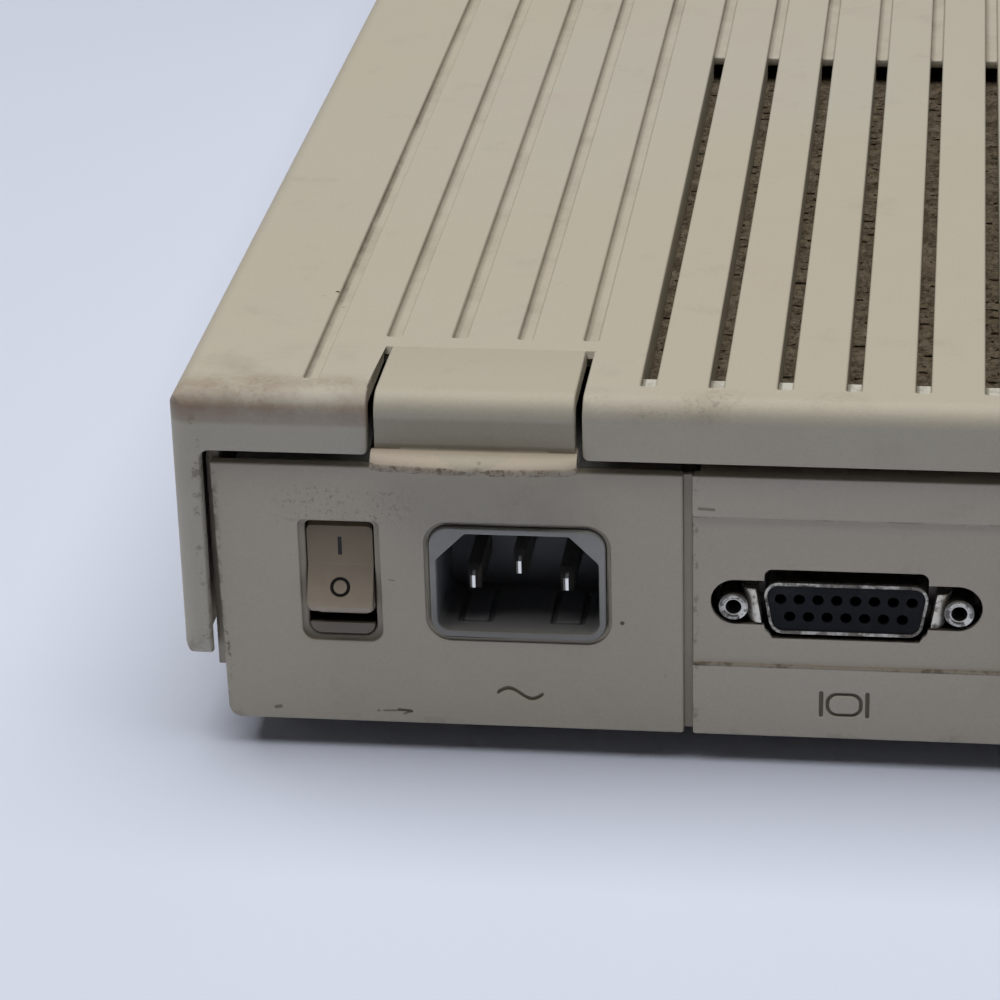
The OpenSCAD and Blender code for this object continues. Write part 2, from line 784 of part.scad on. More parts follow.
// A shallow wave below the inlet: the sign for alternating current.
module tilde_shape() {
    half = 3.5;
    rise = 0.85;
    stroke = 0.65;
    wave = [for (x = [-half : half / 10 : half]) [inlet_u + x, 5.8 - rise * sin(180 * x / half)]];
    polygon(concat(
        [for (p = wave) [p[0], p[1] + stroke / 2]],
        [for (i = [len(wave) - 1 : -1 : 0]) [wave[i][0], wave[i][1] - stroke / 2]]
    ));
}

module power_supply_case() {
    color("#827f78") seat_in_frame() {
        difference() {
            union() {
                in_depth([panel_setback, panel_in]) supply_panel_shape();
                block(supply_body_u, [panel_in, supply_front], [wall, supply_rim]);
            }
            block(supply_inside_u, [panel_in, supply_front - supply_wall], [supply_floor, case_h]);
            in_depth([-over, panel_in + over]) window_shape(0, 0, window_r);
            // shallow dish round the rocker
            in_depth([-over, panel_setback + 0.6]) window_shape(0.9, 0.8, window_r);
            in_depth([-over, panel_in + over]) inlet_outline(inlet_rim + 0.1);
            // soft recess round the inlet
            in_depth([-over, panel_setback + 0.35]) inlet_outline(inlet_rim + 0.8);
            in_depth([-over, panel_setback + 0.4]) tilde_shape();
            // the output lead leaves through the side wall
            rod_across([supply_inside_u[1] - over, supply_u[1]], lead_v, lead_w, lead_r + play);
            side_vents();
        }
        for (u = supply_posts_u, v = supply_posts_v) upright(u, v, [supply_floor, supply_board_w], 3);
    }
}

// Upright air slots in the wall that faces the logic board, as far as the lead's hole.
module side_vents() {
    pitch = 12;
    first = panel_in + 40;
    for (i = [0 : floor((lead_v - 12 - first) / pitch)]) block([supply_inside_u[1] - over, supply_u[1]],
        [first + i * pitch, first + (i + 0.5) * pitch], [supply_board_top + 6, supply_board_top + 22]);
}

module power_supply_cover() {
    color("#a9abac") seat_in_frame() difference() {
        block(supply_body_u, [panel_in, supply_front], [supply_rim, panel_top]);
        translate([0, 0, supply_rim - over]) linear_extrude(cover_t + 2 * over)
            for (i = [0 : 5], j = [0, 1]) slot_shape(supply_inside_u[0] + 7 + i * 10,
                [panel_in + 34 + j * 60, panel_in + 84 + j * 60], 3.4);
    }
}

module power_supply_board() {
    color("#8a6f45") seat_in_frame() difference() {
        block([supply_inside_u[0] + 1, supply_inside_u[1] - 1],
            [panel_in + 23, supply_front - supply_wall - 2], [supply_board_w, supply_board_top]);
        for (u = supply_posts_u, v = supply_posts_v)
            upright(u, v, [supply_board_w - over, supply_board_top + over], 1.6);
    }
}

module power_transformer() {
    base = supply_board_top;
    v = panel_in + 88;
    color("#c9a227") seat_in_frame() {
        // bobbin with its winding
        block([supply_mid_u - 12, supply_mid_u + 12], [v - 11, v + 11], [base, base + 24]);
        // core legs on both sides and yokes over and under the winding
        for (s = [-1, 1]) block(
            s < 0 ? [supply_mid_u - 17, supply_mid_u - 12] : [supply_mid_u + 12, supply_mid_u + 17],
            [v - 6, v + 6], [base, base + 27]);
        block([supply_mid_u - 17, supply_mid_u + 17], [v - 6, v + 6], [base + 24, base + 27]);
    }
}

module power_capacitors() {
    color("#2f3a63") seat_in_frame() {
        for (s = [-1, 1]) can(supply_mid_u + s * 14, panel_in + 52, supply_board_top, 11, 28);
        for (i = [0 : 3]) can(supply_mid_u - 21 + i * 14, supply_front - 20, supply_board_top, 5, 20);
    }
}

// An upright can with a crimped groove near its foot.
module can(u, v, base, r, h) {
    translate([u, v, base]) rotate_extrude() polygon([
        [0, 0], [r, 0], [r, 1.5], [r * 0.93, 2.2], [r * 0.93, 2.8], [r, 3.5], [r, h - 0.8], [r - 0.8, h], [0, h]
    ]);
}

module power_heatsinks() {
    fin_pitch = 5;
    color("#b8bbbd") seat_in_frame() for (s = [-1, 1]) {
        u0 = supply_mid_u + s * 27;
        base = supply_board_top;
        block([u0 - 1, u0 + 1], [panel_in + 70, panel_in + 130], [base, base + 26]);
        for (i = [0 : 11]) block(s < 0 ? [u0 - 3.4, u0 - 1] : [u0 + 1, u0 + 3.4],
            [panel_in + 70 + i * fin_pitch, panel_in + 71.4 + i * fin_pitch], [base, base + 26]);
    }
}

module power_choke() {
    r = 9;
    color("#b0612c") seat_in_frame() translate([supply_mid_u + 12, panel_in + 140, supply_board_top + r])
        difference() {
            rotate([90, 0, 0]) translate([0, 0, -4]) cylinder(r = r, h = 8);
            rotate([90, 0, 0]) translate([0, 0, -5]) cylinder(r = r / 2, h = 10);
        }
}

module inlet_body() {
    color("#747571") seat_in_frame() difference() {
        union() {
            in_depth([inlet_lip_v, panel_in + 1]) inlet_outline(inlet_rim);
            in_depth([panel_in, panel_in + 1.5]) inlet_outline(inlet_rim + 2);
            in_depth([panel_in + 1.5, inlet_lip_v + inlet_depth + 2]) inlet_outline(inlet_rim);
        }
        in_depth([inlet_lip_v - over, inlet_lip_v + inlet_depth]) inlet_cavity_shape();
        for (u = blade_u()) blade_at(u, inlet_lip_v + 1, inlet_lip_v + inlet_depth + 2 + over);
        for (s = [-1, 1]) inlet_floor_slot(inlet_u + s * blade_pitch / 2);
    }
}

// A narrow U-shaped slot in the cavity's lower wall, below each line blade.
module inlet_floor_slot(u) {
    low = inlet_w - inlet_half[1];
    difference() {
        block([u - 2.6, u + 2.6], [inlet_lip_v + 3.6, inlet_lip_v + 14.4], [low - 0.7, low + over]);
        block([u - 1.9, u + 1.9], [inlet_lip_v + 4.1, inlet_lip_v + 15], [low - over, low + 2 * over]);
    }
}

function blade_u() = [[inlet_u - blade_pitch / 2, 0], [inlet_u, earth_rise], [inlet_u + blade_pitch / 2, 0]];

module blade_at(place, v0, v1) {
    in_depth([v0, v1]) square_at(place[0], blade_low + place[1], blade_size[0], blade_size[1]);
}

module inlet_blades() {
    root = inlet_lip_v + inlet_depth;
    tip = root - blade_len;
    taper = 2;
    half = blade_size / 2;
    color("#c9c9c4") seat_in_frame() for (p = blade_u()) {
        blade_at(p, tip + taper, root + 6);
        // the tip narrows both ways
        translate([p[0], tip, blade_low + p[1]]) intersection() {
            across([-half[0], half[0]]) polygon([
                [0, -half[1] / 2], [taper, -half[1]], [taper, half[1]], [0, half[1] / 2]
            ]);
            translate([0, 0, -half[1]]) linear_extrude(2 * half[1]) polygon([
                [-0.4 * half[0], 0], [0.4 * half[0], 0], [half[0], taper], [-half[0], taper]
            ]);
        }
    }
}

// The rocker's section without its round ends: a shallow V face and a back a given way behind it.
module rocker_section(back) {
    face = rocker_face;
    reach = tan(rocker_tilt) * rocker_r;
    translate([pivot_v, switch_w]) rotate(-rocker_tilt) polygon([
        [-face, 0], [-face - reach, rocker_r], [-face - reach + back, rocker_r], [-face + back, 0],
        [-face - reach + back, -rocker_r], [-face - reach, -rocker_r]
    ]);
}

// A wheel about the rocker's pivot with round rims; it limits the rocker's swept ends.
module rocker_wheel(radius, rim_r) {
    half = rocker_w / 2;
    translate([switch_u, pivot_v, switch_w]) rotate([0, 90, 0]) rotate_extrude() {
        translate([0, -half]) square([radius - rim_r, 2 * half]);
        translate([0, -half + rim_r]) square([radius, 2 * (half - rim_r)]);
        for (s = [-1, 1]) translate([radius - rim_r, s * (half - rim_r)]) circle(rim_r);
    }
}

module power_rocker() {
    color("#6a625a") seat_in_frame() {
        difference() {
            union() {
                // the face plate with its lip, and the set-back body behind it
                intersection() {
                    rocker_wheel(rocker_r, 0.8);
                    across(rocker_u) rocker_section(1.2);
                }
                intersection() {
                    rocker_wheel(rocker_r - 0.45, 1.8);
                    across(rocker_u) rocker_section(rocker_face + 1);
                }
                rod_across(rocker_u, pivot_v, switch_w, 2.4);
            }
            // the on and off marks, sunk into the two faces
            on_rocker_face(0) translate([0, 3.1]) square([0.55, 2.9], center = true);
            on_rocker_face(-2 * rocker_tilt) translate([0, -3.5]) difference() {
                circle(1.45);
                circle(1.05);
            }
        }
        rod_across([rocker_u[0] - 1.6, rocker_u[1] + 1.6], pivot_v, switch_w, pivot_r);
    }
}

// Cuts a shape, drawn across and up from the rocker's crease, a little way into one of its faces.
module on_rocker_face(turn) {
    translate([switch_u, pivot_v - rocker_face * cos(rocker_tilt), switch_w + rocker_face * sin(rocker_tilt)])
        rotate([turn, 0, 0]) translate([0, mark_depth, 0]) rotate([90, 0, 0])
            linear_extrude(mark_depth + over) children();
}

module switch_body() {
    half_in = rocker_w / 2 + 0.25;
    half = half_in + switch_wall;
    body_v = [panel_in, panel_in + switch_depth];
    // the sill in the window stays below the rocker's sweep
    sill_w = switch_w - sqrt(pow(rocker_r + play, 2) - pow(pivot_v - panel_in, 2));
    color("#2b2a29") seat_in_frame() difference() {
        union() {
            block([switch_u - half, switch_u + half], body_v,
                [switch_w - rocker_r - 2, switch_w + rocker_r + 2]);
            intersection() {
                in_depth([panel_setback + 0.4, panel_in]) window_shape(-play, -play, window_r - play);
                block([0, supply_u[1]], [0, panel_in], [0, sill_w]);
            }
        }
        rod_across([switch_u - half_in, switch_u + half_in], pivot_v, switch_w, rocker_r + play);
        block([switch_u - half_in, switch_u + half_in], [panel_in - over, pivot_v],
            [switch_w - rocker_r - play, switch_w + rocker_r + play]);
        rod_across([switch_u - half - over, switch_u + half + over], pivot_v, switch_w, pivot_r + fit);
    }
}

// Sheathed leads from the power supply to their plug on the logic board.
module power_lead() {
    color("#2e2d2c") seat_in_frame() {
        rod_across(lead_u, lead_v, lead_w, lead_r);
        translate([plug_u, lead_v, lead_w]) sphere(lead_r);
        rod_in_depth(plug_u, [lead_v, plug_v - 4], lead_w, lead_r);
        block([plug_u - plug_half[0], plug_u + plug_half[0]], [plug_v - plug_half[1], plug_v + plug_half[1]],
            [board_top, lead_w + 5]);
    }
}

// ------------ port panel and logic board

// The D-shaped outline of a two-row port, wider side up, with four round corners.
module dsub_shape(u, spacing, grow) {
    half = (spacing - 8.3) / 2 + grow;
    hh = dsub_h / 2 + grow;
    r = dsub_corner_r + grow;
    lean = r * sin(dsub_slope);
    side = r * cos(dsub_slope);
    // the corners' centres above and below
    upper = half - (r + lean) / cos(dsub_slope);
    lower = half - 2 * hh * tan(dsub_slope) - (r - lean) / cos(dsub_slope);
    translate([u, port_w]) {
        polygon([
            [-upper, hh], [upper, hh], [upper + side, hh - r - lean], [lower + side, r - hh - lean],
            [lower, -hh], [-lower, -hh], [-lower - side, r - hh - lean], [-upper - side, hh - r - lean]
        ]);
        for (s = [-1, 1]) {
            translate([s * upper, hh - r]) circle(r);
            translate([s * lower, r - hh]) circle(r);
        }
    }
}

// The panel's opening for one: a deep middle and a lobe for each jackscrew.
module dsub_opening(u, spacing) {
    end = spacing / 2 + lobe;
    main = (spacing - 8.3) / 2 - 0.4;
    round_rect([u - end, u + end], [port_w - 2.8, port_w + 4.5], 3.6);
    round_rect([u - main, u + main], [port_w - 4.2, port_w + 6.4], 1.2);
    polygon([
        [u + main, port_w - 3], [u + main - 1.2, port_w - 5],
        [u - main + 1.2, port_w - 5], [u - main, port_w - 3]
    ]);
}

function dsub_ports() = [[video_u, video_spacing], [scsi_u, scsi_spacing]];

// Screen with its case's two sides, cut into the panel under the video port.
module screen_mark() {
    for (s = [-1, 1]) square_at(video_u + s * 3.45, 5.8, 0.6, 4.4);
    difference() {
        round_rect([video_u - 2.75, video_u + 2.75], [3.8, 7.8], 1.7);
        round_rect([video_u - 2.25, video_u + 2.25], [4.3, 7.3], 1.3);
    }
}

module port_panel_shape() {
    r = panel_corner_r;
    polygon(concat(
        [[port_u[0], 0], [port_u[0], panel_top], [port_u[1], panel_top]],
        [for (a = [0 : 15 : 90]) [port_u[1] - panel_lean - r + r * cos(a), r - r * sin(a)]]
    ));
}

module port_panel() {
    color("#7d7973") seat_in_frame() difference() {
        union() {
            in_depth([panel_setback, panel_in]) port_panel_shape();
            block([port_u[0] + 1, port_u[1] - 4], [panel_in, panel_in + panel_flange],
                [panel_top - 1.2, panel_top]);
        }
        // the band
        block([port_u[0] - over, port_u[1] + over], [-over, panel_setback + band_depth], [band_low, band_high]);
        in_depth([-over, panel_in + over]) {
            for (p = dsub_ports()) dsub_opening(p[0], p[1]);
            for (u = round_port_u) translate([u, port_w]) circle(round_hole_r);
            for (u = jack_u) translate([u, port_w]) circle(jack_hole_r);
            round_rect(expansion_u, expansion_h, 1);
        }
        in_depth([-over, panel_setback + 0.4]) screen_mark();
    }
}

module expansion_cover() {
    inner = [[expansion_u[0] + play, expansion_u[1] - play], [expansion_h[0] + play, expansion_h[1] - play]];
    color("#7d7973") seat_in_frame() {
        in_depth([panel_setback + band_depth, panel_in]) round_rect(inner[0], inner[1], 0.8);
        // flange that bears on the panel's back above and below the opening
        in_depth([panel_in, panel_in + 1]) round_rect([expansion_u[0] + play, expansion_u[1] - play],
            [expansion_h[0] - 0.5, expansion_h[1] + 1.5], 1);
        // snap fingers
        for (u = [expansion_u[0] + 6, expansion_u[1] - 6])
            block([u - 2.5, u + 2.5], [panel_in + 1, panel_in + 6], [expansion_h[1] - 2, expansion_h[1] - 0.8]);
    }
}

module logic_board() {
    color("#2f5d3a") seat_in_frame() difference() {
        block(board_u, board_v, [board_w, board_top]);
        for (u = board_posts_u, v = board_posts_v) upright(u, v, [board_w - over, board_top + over], 1.6);
    }
}

// A chip body with its two rows of legs drawn as one shoulder.
module chip(u, v, size) {
    block([u - size[0] / 2, u + size[0] / 2], [v - size[1] / 2, v + size[1] / 2],
        [board_top, board_top + size[2]]);
}

module socketed_chip(u, v, size) {
    chip(u, v, [size[0] + 5, size[1] + 5, 2.4]);
    translate([0, 0, 2.4]) chip(u, v, size);
}

module processor() {
    // midway between the first controller and the memory chips
    u = (controller_u0 + controller_side[0] / 2 + memory_u0 - memory_chip[0] / 2) / 2;
    color("#26262a") seat_in_frame() socketed_chip(u, processor_row_v, [processor_side, processor_side, 3.6]);
}

module rom_chips() {
    color("#2c2c30") seat_in_frame() for (i = [0 : 3])
        socketed_chip(board_u[0] + 18 + i * 18, rom_row_v, [11.4, 14, 2.6]);
}

module controller_chips() {
    color("#242428") seat_in_frame() {
        side = controller_side;
        chip(controller_u0, processor_row_v, [side[0], side[0], 3.4]);
        chip(controller_u0 + 30, controller_row_v, [side[1], side[1], 3.2]);
        chip(controller_u0 + 90, controller_row_v, [side[2], side[2], 3.4]);
        chip(controller_u0 + 90 + side[2] / 2 + 20, controller_row_v, [18, 12, 2.6]);
    }
}

module memory_chips() {
    color("#202024") seat_in_frame() for (i = [0 : 3], j = [0, 1])
        chip(memory_u0 + i * memory_pitch[0], processor_row_v - 8 + j * memory_pitch[1],
            [memory_chip[0], memory_chip[1], 3.2]);
}

module memory_sockets() {
    color("#d8d2c0") seat_in_frame() for (v = module_v) difference() {
        block([module_u[0] - 3, module_u[1] + 3], [v - 3, v + 3], [board_top, board_top + 7]);
        block([module_u[0] - play, module_u[1] + play], [v - module_t / 2 - fit, v + module_t / 2 + fit],
            [board_top + 3, board_top + 8]);
    }
}

module memory_modules() {
    color("#2f6a3c") seat_in_frame() for (v = module_v) {
        top = board_top + 3 + module_size[1];
        pitch = (module_size[0] - 5) / 8;
        block(module_u, [v - module_t / 2, v + module_t / 2], [board_top + 3, top]);
        for (i = [0 : 7]) translate([module_u[0] + 3 + i * pitch, 0, 0])
            block([0, 0.75 * pitch], [v + module_t / 2, v + module_t / 2 + 3], [board_top + 8.5, top - 2]);
    }
}

module expansion_slot() {
    u = [board_u[1] - 6 - slot_socket[0], board_u[1] - 6];
    half = slot_socket[1] / 2;
    skin = 1.6;
    color("#e2ddd0") seat_in_frame() difference() {
        block(u, [slot_row_v - half, slot_row_v + half], [board_top, board_top + 11]);
        block([u[0] + 4, u[1] - 4], [slot_row_v - half + skin, slot_row_v + half - skin],
            [board_top + 3, board_top + 12]);
    }
}

battery_u = board_u[0] + 7.5 + battery_l / 2;
battery_v = battery_row_v;

module battery_holder() {
    color("#2a2a2a") seat_in_frame() difference() {
        block([battery_u - battery_l / 2 - 3, battery_u + battery_l / 2 + 3],
            [battery_v - battery_r - 2, battery_v + battery_r + 2], [board_top, board_top + 10]);
        rod_across([battery_u - battery_l / 2 - 1, battery_u + battery_l / 2 + 1], battery_v,
            board_top + battery_r + 1.5, battery_r + 0.2);
        block([battery_u - battery_l / 2 - 1, battery_u + battery_l / 2 + 1],
            [battery_v - battery_r - 0.2, battery_v + battery_r + 0.2],
            [board_top + battery_r + 1.5, board_top + 12]);
    }
}

module clock_battery() {
    color("#b3383a") seat_in_frame() {
        rod_across([battery_u - battery_l / 2, battery_u + battery_l / 2], battery_v,
            board_top + battery_r + 1.5, battery_r);
        rod_across([battery_u + battery_l / 2, battery_u + battery_l / 2 + 1], battery_v,
            board_top + battery_r + 1.5, 2.5);
    }
}

module board_capacitors() {
    color("#c4c6c8") seat_in_frame() {
        for (i = [0 : 5]) can(board_u[0] + 116 + i * 12, board_v[0] + 22, board_top, 3.1, 5.6);
        // three between the power lead's plug and the memory sockets
        span = [plug_u + plug_half[0], module_u[0] - 3];
        for (i = [1 : 3]) can(span[0] + i * (span[1] - span[0]) / 4, battery_row_v, board_top, 3.1, 5.6);
    }
}

module crystal_oscillators() {
    can_size = [20, 13];
    color("#cdd0d2") seat_in_frame() for (i = [0, 1])
        translate([board_u[0] + 14, board_v[0] + 28 + i * (can_size[1] + 4), board_top])
            linear_extrude(5) round_rect([0, can_size[0]], [0, can_size[1]], 2);
}

module dsub_shell(u, spacing) {
    half = spacing / 2 + 3;
    difference() {
        union() {
            in_depth(dsub_flange_v) round_rect([u - half, u + half], [port_w - 6.2, port_w + 6.2], 1.5);
            in_depth([port_face_v, dsub_flange_v[0]]) dsub_shape(u, spacing, 0);
        }
        in_depth([port_face_v - over, dsub_flange_v[1] + over]) dsub_shape(u, spacing, -dsub_skin);
        for (s = [-1, 1]) rod_in_depth(u + s * spacing / 2, [dsub_flange_v[0] - over, dsub_flange_v[1] + over],
            port_w, jackscrew_bore_r + 0.4);
    }
}

// The black insulator: contact holes in two rows, and the body that stands on the board.
module dsub_insert(u, spacing, contacts) {
    half = (spacing - 8.3) / 2;
    upper = ceil(contacts / 2);
    difference() {
        union() {
            in_depth([port_face_v + 0.2, dsub_flange_v[1]]) dsub_shape(u, spacing, -dsub_skin - 0.02);
            block([u - half - 2, u + half + 2], [dsub_flange_v[1], dsub_flange_v[1] + 10],
                [board_top, port_w + 5.6]);
        }
        for (i = [0 : upper - 1]) contact_hole(u + (i - (upper - 1) / 2) * dsub_pitch, port_w + dsub_row / 2);
        for (i = [0 : contacts - upper - 1])
            contact_hole(u + (i - (contacts - upper - 1) / 2) * dsub_pitch, port_w - dsub_row / 2);
    }
}

module contact_hole(u, w) {
    rod_in_depth(u, [port_face_v - over, port_face_v + 5], w, 0.85);
}

module video_port_shell() {
    color("#b9bbb8") seat_in_frame() dsub_shell(video_u, video_spacing);
}

module video_port_insert() {
    color("#1d1f22") seat_in_frame() dsub_insert(video_u, video_spacing, 15);
}

module drive_port_shell() {
    color("#b9bbb8") seat_in_frame() dsub_shell(scsi_u, scsi_spacing);
}

module drive_port_insert() {
    color("#1d1f22") seat_in_frame() dsub_insert(scsi_u, scsi_spacing, 25);
}

// Tapped posts that a plug's screws fasten to.
module port_jackscrews() {
    color("#c6c6c0") seat_in_frame() for (p = dsub_ports(), s = [-1, 1]) difference() {
        rod_in_depth(p[0] + s * p[1] / 2, [port_face_v, dsub_flange_v[0]], port_w, jackscrew_r);
        rod_in_depth(p[0] + s * p[1] / 2, [port_face_v - over, dsub_flange_v[0] + over], port_w,
            jackscrew_bore_r);
    }
}

// A round shielded socket: body, snout, ring gap and keyed insert.
module round_port(u, contacts) {
    difference() {
        union() {
            block([u - 7, u + 7], port_body_v, [board_top, port_w + 6.5]);
            rod_in_depth(u, [port_face_v, port_body_v[0]], port_w, 5.8);
        }
        difference() {
            rod_in_depth(u, [port_face_v - over, port_face_v + 7.5], port_w, round_port_r);
            rod_in_depth(u, [port_face_v - 2 * over, port_face_v + 9], port_w, round_port_r - 0.8);
        }
        for (i = [0 : contacts - 1]) rotate_about(u, port_w, i * 360 / contacts)
            rod_in_depth(u + 2.4, [port_face_v - over, port_face_v + 5], port_w, 0.45);
        block([u - 1, u + 1], [port_face_v - over, port_face_v + 5], [port_w - 0.5, port_w + 0.5]);
    }
}

module rotate_about(u, w, angle) {
    translate([u, 0, w]) rotate([0, angle, 0]) translate([-u, 0, -w]) children();
}

module printer_and_modem_ports() {
    color("#232426") seat_in_frame() for (u = [round_port_u[0], round_port_u[1]]) round_port(u, 8);
}

module keyboard_port() {
    color("#232426") seat_in_frame() round_port(round_port_u[2], 4);
}

module sound_jacks() {
    color("#232426") seat_in_frame() for (u = jack_u) difference() {
        union() {
            block([u - 5, u + 5], port_body_v, [board_top, port_w + 5]);
            rod_in_depth(u, [port_face_v, port_body_v[0]], port_w, 3.9);
        }
        rod_in_depth(u, [port_face_v - over, port_face_v + 12], port_w, jack_bore_r);
    }
}

// A flat cable from a header on the logic board, over and down to the back of a drive.
module flat_cable(u) {
    peak = board_top + cable_peak;
    drop_v = drive_v[0] - 6;
    plug_w = [drive_w0 + 3, drive_w0 + 11];
    skin = 0.9;
    block([u[0] - 2, u[1] + 2], [header_v - header_half_v, header_v + header_half_v],
        [board_top, board_top + 9]);
    across(u) polygon([
        [header_v - skin / 2, board_top + 9], [header_v - skin / 2, peak],
        [header_v + 3, peak + 3], [drop_v - 3, peak + 3],
        [drop_v + skin / 2, peak - skin / 2], [drop_v + skin / 2, plug_w[1]],
        [drop_v - skin / 2, plug_w[1]], [drop_v - skin / 2, peak - skin],
        [drop_v - 3 - skin / 3, peak + 3 - skin], [header_v + 3 + skin / 3, peak + 3 - skin],
        [header_v + skin / 2, peak - skin / 2], [header_v + skin / 2, board_top + 9]
    ]);
    block([u[0] - 2, u[1] + 2], [drop_v - 3, drive_v[0]], plug_w);
}

module drive_cables() {
    color("#9c9a92") seat_in_frame() {
        flat_cable([board_u[0] + 4, board_u[0] + 4 + floppy_cable_w]);
        flat_cable([hard_u[0] + 14, hard_u[0] + 14 + hard_cable_w]);
    }
}

// ------------ floppy drive

module floppy_frame() {
    color("#9b9d9e") seat_in_frame() difference() {
        block(floppy_u, drive_v, [drive_w0, drive_top - 1]);
        block([floppy_u[0] + floppy_skin, floppy_u[1] - floppy_skin],
            [drive_v[0] + floppy_skin, drive_v[1] + over], [spindle_base, drive_top + over]);
        upright(spindle_u, spindle_v, [drive_w0 - over, spindle_base + over], spindle_r + fit);
        for (i = [0 : 3]) block([floppy_u[0] - over, floppy_u[1] + over],
            [drive_v[0] + 20 + i * 30, drive_v[0] + 32 + i * 30], [drive_top - 9, drive_top - 5]);
    }
}

module floppy_shield() {
    color("#b4b6b7") seat_in_frame() difference() {
        block(floppy_u, drive_v, [drive_top - 1, drive_top]);
        upright(spindle_u, spindle_v, [drive_top - 2, drive_top + over], 20);
    }
}

module floppy_motor_board() {
    color("#2e5c66") seat_in_frame() difference() {
        block([spindle_u - 34, spindle_u + 34], [spindle_v - 18, spindle_v + 34],
            [spindle_base, spindle_base + 1.2]);
        upright(spindle_u, spindle_v, [spindle_base - over, spindle_base + 3], 6);
    }
}

// Flat rotor, disk hub with its drive dog, and the shaft in the frame's bearing.
module floppy_spindle() {
    color("#c3c5c6") seat_in_frame() {
        upright(spindle_u, spindle_v, [drive_w0, spindle_base + 8], spindle_r);
        upright(spindle_u, spindle_v, [spindle_base + 1.6, spindle_base + 4.6], rotor_r);
        upright(spindle_u, spindle_v, [spindle_base + 4.6, spindle_base + 7], 12);
        upright(spindle_u + 8, spindle_v, [spindle_base + 7, spindle_base + 8], 1.4);
    }
}

// Lower head block on its two rods, the pivoted upper arm and the nut on the lead screw.
module floppy_head_carriage() {
    v = carriage_v;
    color("#74787a") seat_in_frame() difference() {
        union() {
            block([rod_u[0] - 5, rod_u[1] + 5], v, [rod_w - 3.5, rod_w + 3.5]);
            block([spindle_u - 6, spindle_u + 6], [v[0], v[1] + 12], [rod_w + 3.5, rod_w + 5.5]);
            block([spindle_u - 6, spindle_u + 6], [v[0], v[0] + 8], [rod_w + 5.5, rod_w + 15]);
            block([spindle_u - 5, spindle_u + 5], [v[0], v[1] + 12], [rod_w + 13, rod_w + 15]);
            block([rod_u[1] + 5, screw_u + 4], [v[0], v[0] + 8], [rod_w - 3.5, screw_w + 4]);
        }
        for (u = rod_u) rod_in_depth(u, [v[0] - over, v[1] + over], rod_w, rod_r + fit);
        rod_in_depth(screw_u, [v[0] - over, v[0] + 8 + over], screw_w, rod_r + fit);
    }
}

rod_v = [drive_v[0] + floppy_skin, screw_end];

module floppy_guide_rods() {
    color("#d0d2d3") seat_in_frame() for (u = rod_u) {
        rod_in_depth(u, rod_v, rod_w, rod_r);
        // the block that clips each rod's front end down
        difference() {
            block([u - 3, u + 3], [screw_end - 4, screw_end], [spindle_base + 1.2, rod_w + 2.5]);
            rod_in_depth(u, rod_v, rod_w, rod_r);
        }
    }
}

module floppy_lead_screw() {
    color("#cfd1d2") seat_in_frame() {
        rod_in_depth(screw_u, [stepper_v[1] - 2, screw_end], screw_w, rod_r);
    }
}

module floppy_stepper() {
    color("#8d9092") seat_in_frame() difference() {
        union() {
            rod_in_depth(screw_u, stepper_v, screw_w, stepper_r);
            block([screw_u - 8.5, screw_u + 8.5], [stepper_v[1] - 1.2, stepper_v[1]],
                [spindle_base, screw_w + stepper_r]);
            // bearing bracket at the screw's far end
            block([screw_u - 3.5, screw_u + 3.5], [screw_end - 4, screw_end + 2],
                [spindle_base, screw_w + 3.5]);
        }
        rod_in_depth(screw_u, [stepper_v[1] - 3, screw_end + fit], screw_w, rod_r + fit);
    }
}

module floppy_eject_motor() {
    u = floppy_u[0] + 16;
    color("#8a8d8f") seat_in_frame() {
        block([u - 12, u + 8], [drive_v[0] + 6, drive_v[0] + 38], [spindle_base, spindle_base + 10]);
        rod_in_depth(u - 2, [drive_v[0] + 8, drive_v[0] + 30], spindle_base + 15, 5.5);
        block([u - 8, u + 4], [drive_v[0] + 8, drive_v[0] + 30], [spindle_base + 10, spindle_base + 15]);
    }
}

// ------------ hard drive

hard_board_w = [drive_w0 + 1.5, drive_w0 + 1.5 + board_t];
hard_split = drive_top - 4;

module hard_drive_casting() {
    color("#3f4144") seat_in_frame() {
        difference() {
            round_block(hard_u, drive_v, [drive_w0, hard_split], 3);
            block([hard_u[0] + 4, hard_u[1] - 4], [drive_v[0] - over, drive_v[1] - 4],
                [drive_w0 - over, hard_board_w[1] + 2]);
            // mounting holes in the sides
            for (v = [drive_v[0] + 30, drive_v[0] + 90]) rod_across([hard_u[0] - over, hard_u[1] + over], v,
                drive_w0 + 12, 1.6);
        }
        for (u = [hard_u[0] + 10, hard_u[1] - 10], v = [drive_v[0] + 10, drive_v[1] - 14])
            upright(u, v, [hard_board_w[1], hard_board_w[1] + 2], 2.5);
    }
}

module hard_drive_cover() {
    color("#c9cbcc") seat_in_frame() {
        round_block([hard_u[0] + 1, hard_u[1] - 1], [drive_v[0] + 1, drive_v[1] - 1],
            [hard_split, hard_split + 1.2], 2);
        round_block([hard_u[0] + 7, hard_u[1] - 7], [drive_v[0] + 24, drive_v[1] - 7],
            [hard_split + 1.2, drive_top], 4);
    }
}

module hard_drive_board() {
    color("#2c5a38") seat_in_frame() block([hard_u[0] + 5, hard_u[1] - 5],
        [drive_v[0] + 1, drive_v[1] - 5], hard_board_w);
}

// ------------ fan and loudspeaker

fan_bore_r = fan_size / 2 - 1.4;
rotor_tip_r = fan_bore_r - 0.7;
fan_shaft_r = 1.5;

